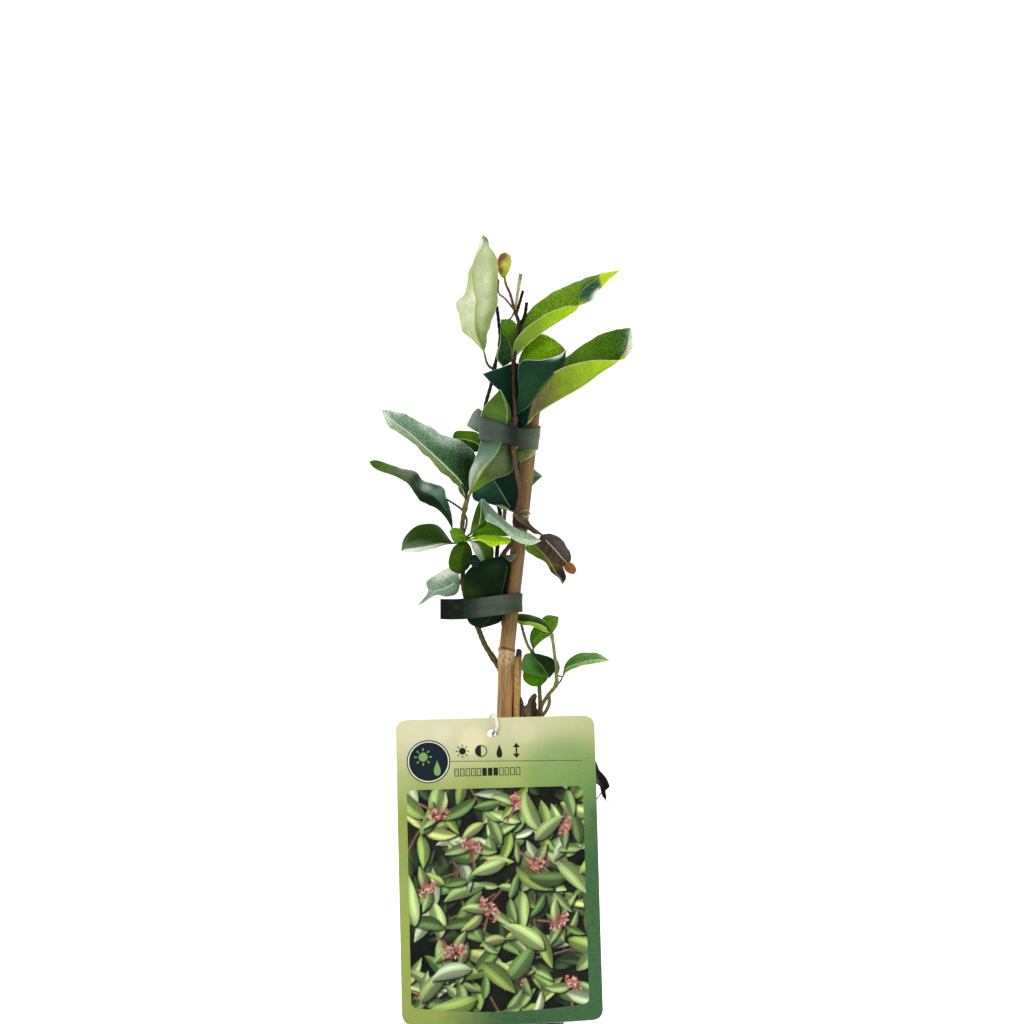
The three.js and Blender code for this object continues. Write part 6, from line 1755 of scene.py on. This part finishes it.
def printed_twig(x, y, length, turn, colour):
    """A thin brown twig with a light upper edge."""
    dx, dy = ink_x - x, ink_y - y
    along = dx * math.cos(turn) + dy * math.sin(turn)
    off = -dx * math.sin(turn) + dy * math.cos(turn) - 0.012 * (along - length / 2) ** 2 / 3
    mask = np.clip((0.55 - np.abs(off)) / 0.3 + 0.5, 0, 1) * ((along > 0) & (along < length))
    lay(mask, np.array(colour) / 255)
    lay(mask * np.clip(off / 0.5, 0, 1) * 0.5, np.array([0.86, 0.76, 0.66]))


PETAL_INKS = [[146, 84, 82], [184, 116, 108], [206, 146, 134], [226, 186, 166], [112, 56, 54]]


def printed_blossom(x, y, reach, turn):
    """A head of small pink flowers, dark between them and lighter at their tips."""
    near = np.exp(-(((ink_x - x) ** 2 + (ink_y - y) ** 2) / (reach * 0.95) ** 2))
    lay(near * 0.5, np.array([0.30, 0.12, 0.14]))
    for _ in range(int(11 * reach)):
        out = reach * math.sqrt(draw.uniform(0, 1))
        angle = draw.uniform(0, 6.28)
        c, s = out * math.cos(angle), out * math.sin(angle)
        px = x + c * math.cos(turn) * 1.25 - 0.6 * s * math.sin(turn)
        py = y + c * math.sin(turn) * 1.25 + 0.6 * s * math.cos(turn)
        lean, size = draw.uniform(0, 3.14), draw.uniform(0.34, 0.66)
        dx, dy = ink_x - px, ink_y - py
        a = (dx * math.cos(lean) + dy * math.sin(lean)) / (2.1 * size)
        b = (-dx * math.sin(lean) + dy * math.cos(lean)) / size
        mask = np.clip(1.6 - 1.4 * (a**2 + b**2), 0, 1)
        petal = np.array(PETAL_INKS[draw.choice(5, p=[0.2, 0.3, 0.24, 0.16, 0.1])]) / 255
        lay(mask, petal * draw.uniform(0.85, 1.1))


for _ in range(110):
    x, y = draw.uniform(-52, 46), draw.uniform(-76, 44)
    length, width, turn = draw.uniform(12, 22), draw.uniform(2.2, 4.2), draw.uniform(0, 6.28)
    printed_leaf(x, y, length, width, turn, (54, 70, 44), 0.9)
for _ in range(16):
    x, y = draw.uniform(-50, 40), draw.uniform(-70, 40)
    printed_twig(x, y, draw.uniform(14, 34), draw.uniform(0, 6.28), (96, 66, 56))
LEAF_INKS = [
    (132, 158, 98), (104, 134, 76), (160, 182, 116), (174, 190, 152), (138, 164, 84),
    (174, 186, 112),
]
for _ in range(120):
    x, y = draw.uniform(-50, 46), draw.uniform(-74, 44)
    turn = draw.uniform(0, 6.28)
    inks = LEAF_INKS[draw.choice(6, p=[0.24, 0.24, 0.16, 0.14, 0.12, 0.1])]
    size = draw.uniform(11, 23)
    printed_leaf(x, y, size, size * draw.uniform(0.13, 0.21), turn, inks)
    if draw.uniform() < 0.6:
        turn = turn + math.pi + draw.uniform(-0.7, 0.7)
        printed_leaf(x, y, size * 0.9, size * 0.17, turn, inks)
BLOSSOMS = [
    (-29, 28, 4.6, 0.4), (10, 33, 3.8, 2.0), (33, 21, 4.2, 1.2), (-13, 12, 4.8, 2.6),
    (19, 2, 5.4, 0.3), (-35, -9, 4.4, 1.0), (-5, -20, 5.6, 2.2), (29, -27, 4.6, 0.8),
    (-23, -40, 5.4, 0.2), (9, -52, 4.2, 1.7), (35, -57, 3.8, 2.4), (-37, -61, 3.8, 0.6),
]
for x, y, reach, turn in BLOSSOMS:
    printed_leaf(x - 1, y - 1, 13, 2.4, turn + 0.8, LEAF_INKS[2])
    printed_leaf(x + 1, y, 12, 2.3, turn + 3.4, LEAF_INKS[0])
    printed_twig(x, y, 11, turn + 2.2, (134, 84, 74))
    printed_blossom(x, y, reach, turn)
for _ in range(16):
    size = draw.uniform(16, 26)
    inks = LEAF_INKS[draw.choice([1, 2, 3, 4])]
    x, y = draw.uniform(-48, 40), draw.uniform(-70, 38)
    printed_leaf(x, y, size, size * 0.19, draw.uniform(0, 6.28), inks)
picture = np.clip(picture, 0, 1)
picture = np.where(picture <= 0.04045, picture / 12.92, ((picture + 0.055) / 1.055) ** 2.4)
ink, put = principled("label_ink", Roughness=0.4, Specular_IOR_Level=0.12)
tint, spot = stored(ink, "tint"), stored(ink, "place", vector=True)
dots = spread(ink, noise(ink, spot, 2.4, 3.0, 0.6), 0.3, 0.7, 0.0, 0.22)
put(Base_Color=blend(ink, dots, tint, blend(ink, 1.0, tint, rgb("a0a8a0"), "MULTIPLY")))
put(Normal=bump(ink, noise(ink, spot, 1.2, 2.0), 0.08, 0.1))
sheet_out = CARD_THICK + 0.03
ink_tint = np.concatenate([picture, np.ones((ROWS, COLUMNS, 1))], axis=-1).reshape(-1, 4)
ink_place = np.stack([ink_x, ink_y, sheet_out + 0 * ink_x], -1).reshape(-1, 3)
scenery = mesh_piece(
    "label_picture",
    on_card(ink_x, ink_y, sheet_out).reshape(-1, 3),
    [grid_faces(ROWS, COLUMNS)[:, ::-1]],
    ink,
    smooth=False,
    tint=ink_tint,
    place=ink_place,
)
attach(scenery, "root")
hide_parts("label_card")

signs = []


def sign(points, code, layer=1):
    """A flat printed shape from its outline, listed anticlockwise."""
    signs.append((np.asarray(points, float), code, layer))


def disc_outline(x, y, radius, count=40, first=0.0, span=2 * math.pi):
    """A round, or the part of it from one angle on."""
    angle = first + np.linspace(0, span, count, endpoint=span < 6)
    return np.stack([x + radius * np.cos(angle), y + radius * np.sin(angle)], -1)


def bar_outline(x0, y0, x1, y1, width):
    """A straight bar from one place to another."""
    across = np.array([y0 - y1, x1 - x0]) / math.hypot(x1 - x0, y1 - y0) * width / 2
    start, end = np.array([x0, y0]), np.array([x1, y1])
    return [start - across, end - across, end + across, start + across]


def drop_outline(x, y, size):
    """A water drop: a round whose width shrinks to nothing at its top."""
    angle = np.linspace(0, 2 * math.pi, 32, endpoint=False)
    narrow = np.sin(angle / 2) ** 1.6
    return np.stack([x + 0.62 * size * np.sin(-angle) * narrow, y + size * np.cos(angle)], -1)


def sun(x, y, size, code, layer):
    """A round with eight rays."""
    sign(disc_outline(x, y, size * 0.52), code, layer)
    for k in range(8):
        c, s = math.cos(k * math.pi / 4), math.sin(k * math.pi / 4)
        ray = (x + 0.7 * size * c, y + 0.7 * size * s, x + size * c, y + size * s)
        sign(bar_outline(*ray, size * 0.16), code, layer)


DARK_INK, LEAF_INK, PALE_INK = "1c2622", "7fa65c", "e4e4d0"
rounds = ((0.55, DARK_INK), (0.0, PALE_INK), (-0.6, "15222c"))
for layer, (more, code) in enumerate(rounds, start=1):
    sign(disc_outline(DISC_X, DISC_Y, DISC_RADIUS + more, 72), code, layer)
sun(DISC_X - 2.6, DISC_Y + 2.4, 4.3, LEAF_INK, 4)
sign(drop_outline(DISC_X + 4.2, DISC_Y - 3.2, 3.9), LEAF_INK, 4)
sign(bar_outline(-22.2, 54.0, 42.4, 52.8, 0.32), "4a5a3a")
sun(-16.4, 58.9, 3.3, DARK_INK, 1)
sign(disc_outline(-7.2, 58.8, 3.0), DARK_INK)
sign(disc_outline(-7.2, 58.8, 2.5, 24, -math.pi / 2, math.pi), "c8ca9c", 2)
sign(drop_outline(1.8, 58.6, 3.4), DARK_INK)
sign(bar_outline(10.2, 56.6, 10.2, 60.6, 0.8), DARK_INK)
sign([(8.4, 60.2), (12.0, 60.2), (10.2, 62.4)], DARK_INK)
sign([(8.4, 57.0), (10.2, 54.8), (12.0, 57.0)], DARK_INK)
MONTHS_IN_FLOWER = (5, 6, 7)
box = np.array([(0, 46.4), (2.2, 46.35), (2.2, 50.3), (0, 50.35)])
hollow = np.array([(0.35, 46.75), (1.85, 46.7), (1.85, 49.95), (0.35, 50.0)])
for month in range(12):
    left = -20.6 + 2.75 * month
    sign(box + [left, 0], DARK_INK)
    if month not in MONTHS_IN_FLOWER:
        sign(hollow + [left, 0], "a3b070", 2)
sign_points, sign_faces, sign_tints, sign_places, first = [], [], [], [], 0
for shape, code, layer in signs:
    out = CARD_THICK + 0.025 * layer
    sign_points.append(on_card(shape[:, 0], shape[:, 1], out))
    sign_places.append(np.column_stack([shape, np.full(len(shape), out)]))
    sign_faces.append(np.arange(len(shape))[None] + first)
    sign_tints.append(np.broadcast_to(np.array(rgb(code)), (len(shape), 4)))
    first += len(shape)
marks = mesh_piece(
    "label_signs",
    np.concatenate(sign_points),
    sign_faces,
    ink,
    smooth=False,
    tint=np.concatenate(sign_tints),
    place=np.concatenate(sign_places),
)
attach(marks, "root")
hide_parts("label_card")

# ---- Label tie ----------------------------------------------------------------------
# A white plastic-covered tie, closed round the cane and the old stub and through the eye
# of the card. Its skin is finely ribbed and a little soiled.
TIE_RADIUS, TIE_SIDES = 0.85, 16
front_out, back_out = CARD_THICK + TIE_RADIUS + 0.3, -TIE_RADIUS - 0.3
near_card = [
    (0.2, -0.3, CARD_THICK / 2),
    (0.9, 0.5, front_out + 0.7),
    (2.2, 3.6, front_out + 0.3),
    (1.8, 6.85, front_out + 0.3),
    (0.8, 9.55, front_out - 0.5),
    (-0.4, 9.65, back_out),
    (-1.2, 7.45, back_out - 2.6),
]
round_cane = [
    (-1.9, -20, 151), (-3.2, -8, 149.6), (-3.6, -0.6, 148.6), (-1.8, 4.2, 148.2),
    (2.2, 5.4, 147.8), (6.2, 5.7, 147.4), (9.8, 6.6, 147), (12.2, 4.4, 146.8),
    (11.6, -0.4, 146.6), (8, -7, 146.2), (3.4, -14, 145.6), (-0.4, -23, 144.8),
]
tie_route = [
    *(on_card(EYE[0] + x, EYE[1] + y, out) for x, y, out in near_card),
    *(np.array(p, float) for p in round_cane),
    on_card(EYE[0] + 0.1, EYE[1] - 0.9, back_out - 2.6),
]
looped = [*tie_route[-3:], *tie_route, *tie_route[:3]]
spans = len(looped) - 1
share = np.linspace(3 / spans, (3 + len(tie_route)) / spans, 420, endpoint=False)
tie_line = curve(looped, share)
tie_turn = np.linspace(0, 2 * math.pi, TIE_SIDES, endpoint=False)[None]
ribs = 0.04 * np.sin(2 * math.pi * distances(tie_line)[:, None] / 1.6 + tie_turn)
points, faces, _ = tube(tie_line, TIE_RADIUS - 0.05, TIE_SIDES, closed=True, dent=ribs)
tie_mat, put = principled("tie_white", Roughness=0.4, Specular_IOR_Level=0.3)
spot = node(tie_mat, "TexCoord", out=3)
soil_marks = spread(tie_mat, noise(tie_mat, spot, 420.0, 4.0, 0.65), 0.52, 0.72, 0.0, 0.5)
knot_at = [float(c) * MM for c in on_card(EYE[0] - 0.4, EYE[1] + 0.4, CARD_THICK + 1.6)]
from_knot = node(tie_mat, "VectorMath", {0: spot, 1: knot_at}, out=1, operation="DISTANCE")
colour = blend(tie_mat, soil_marks, rgb("e4e2da"), rgb("8f8a7c"))
knot_shade = spread(tie_mat, from_knot, 0.0014, 0.0026, 0.8, 0.0)
put(Base_Color=blend(tie_mat, knot_shade, colour, rgb("3c302a")))
put(Normal=bump(tie_mat, noise(tie_mat, spot, 2400.0, 2.0), 0.2, 0.06))
tie = mesh_piece("tie_loop", points, faces, tie_mat)
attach(tie, "root")
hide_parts("label_tie")
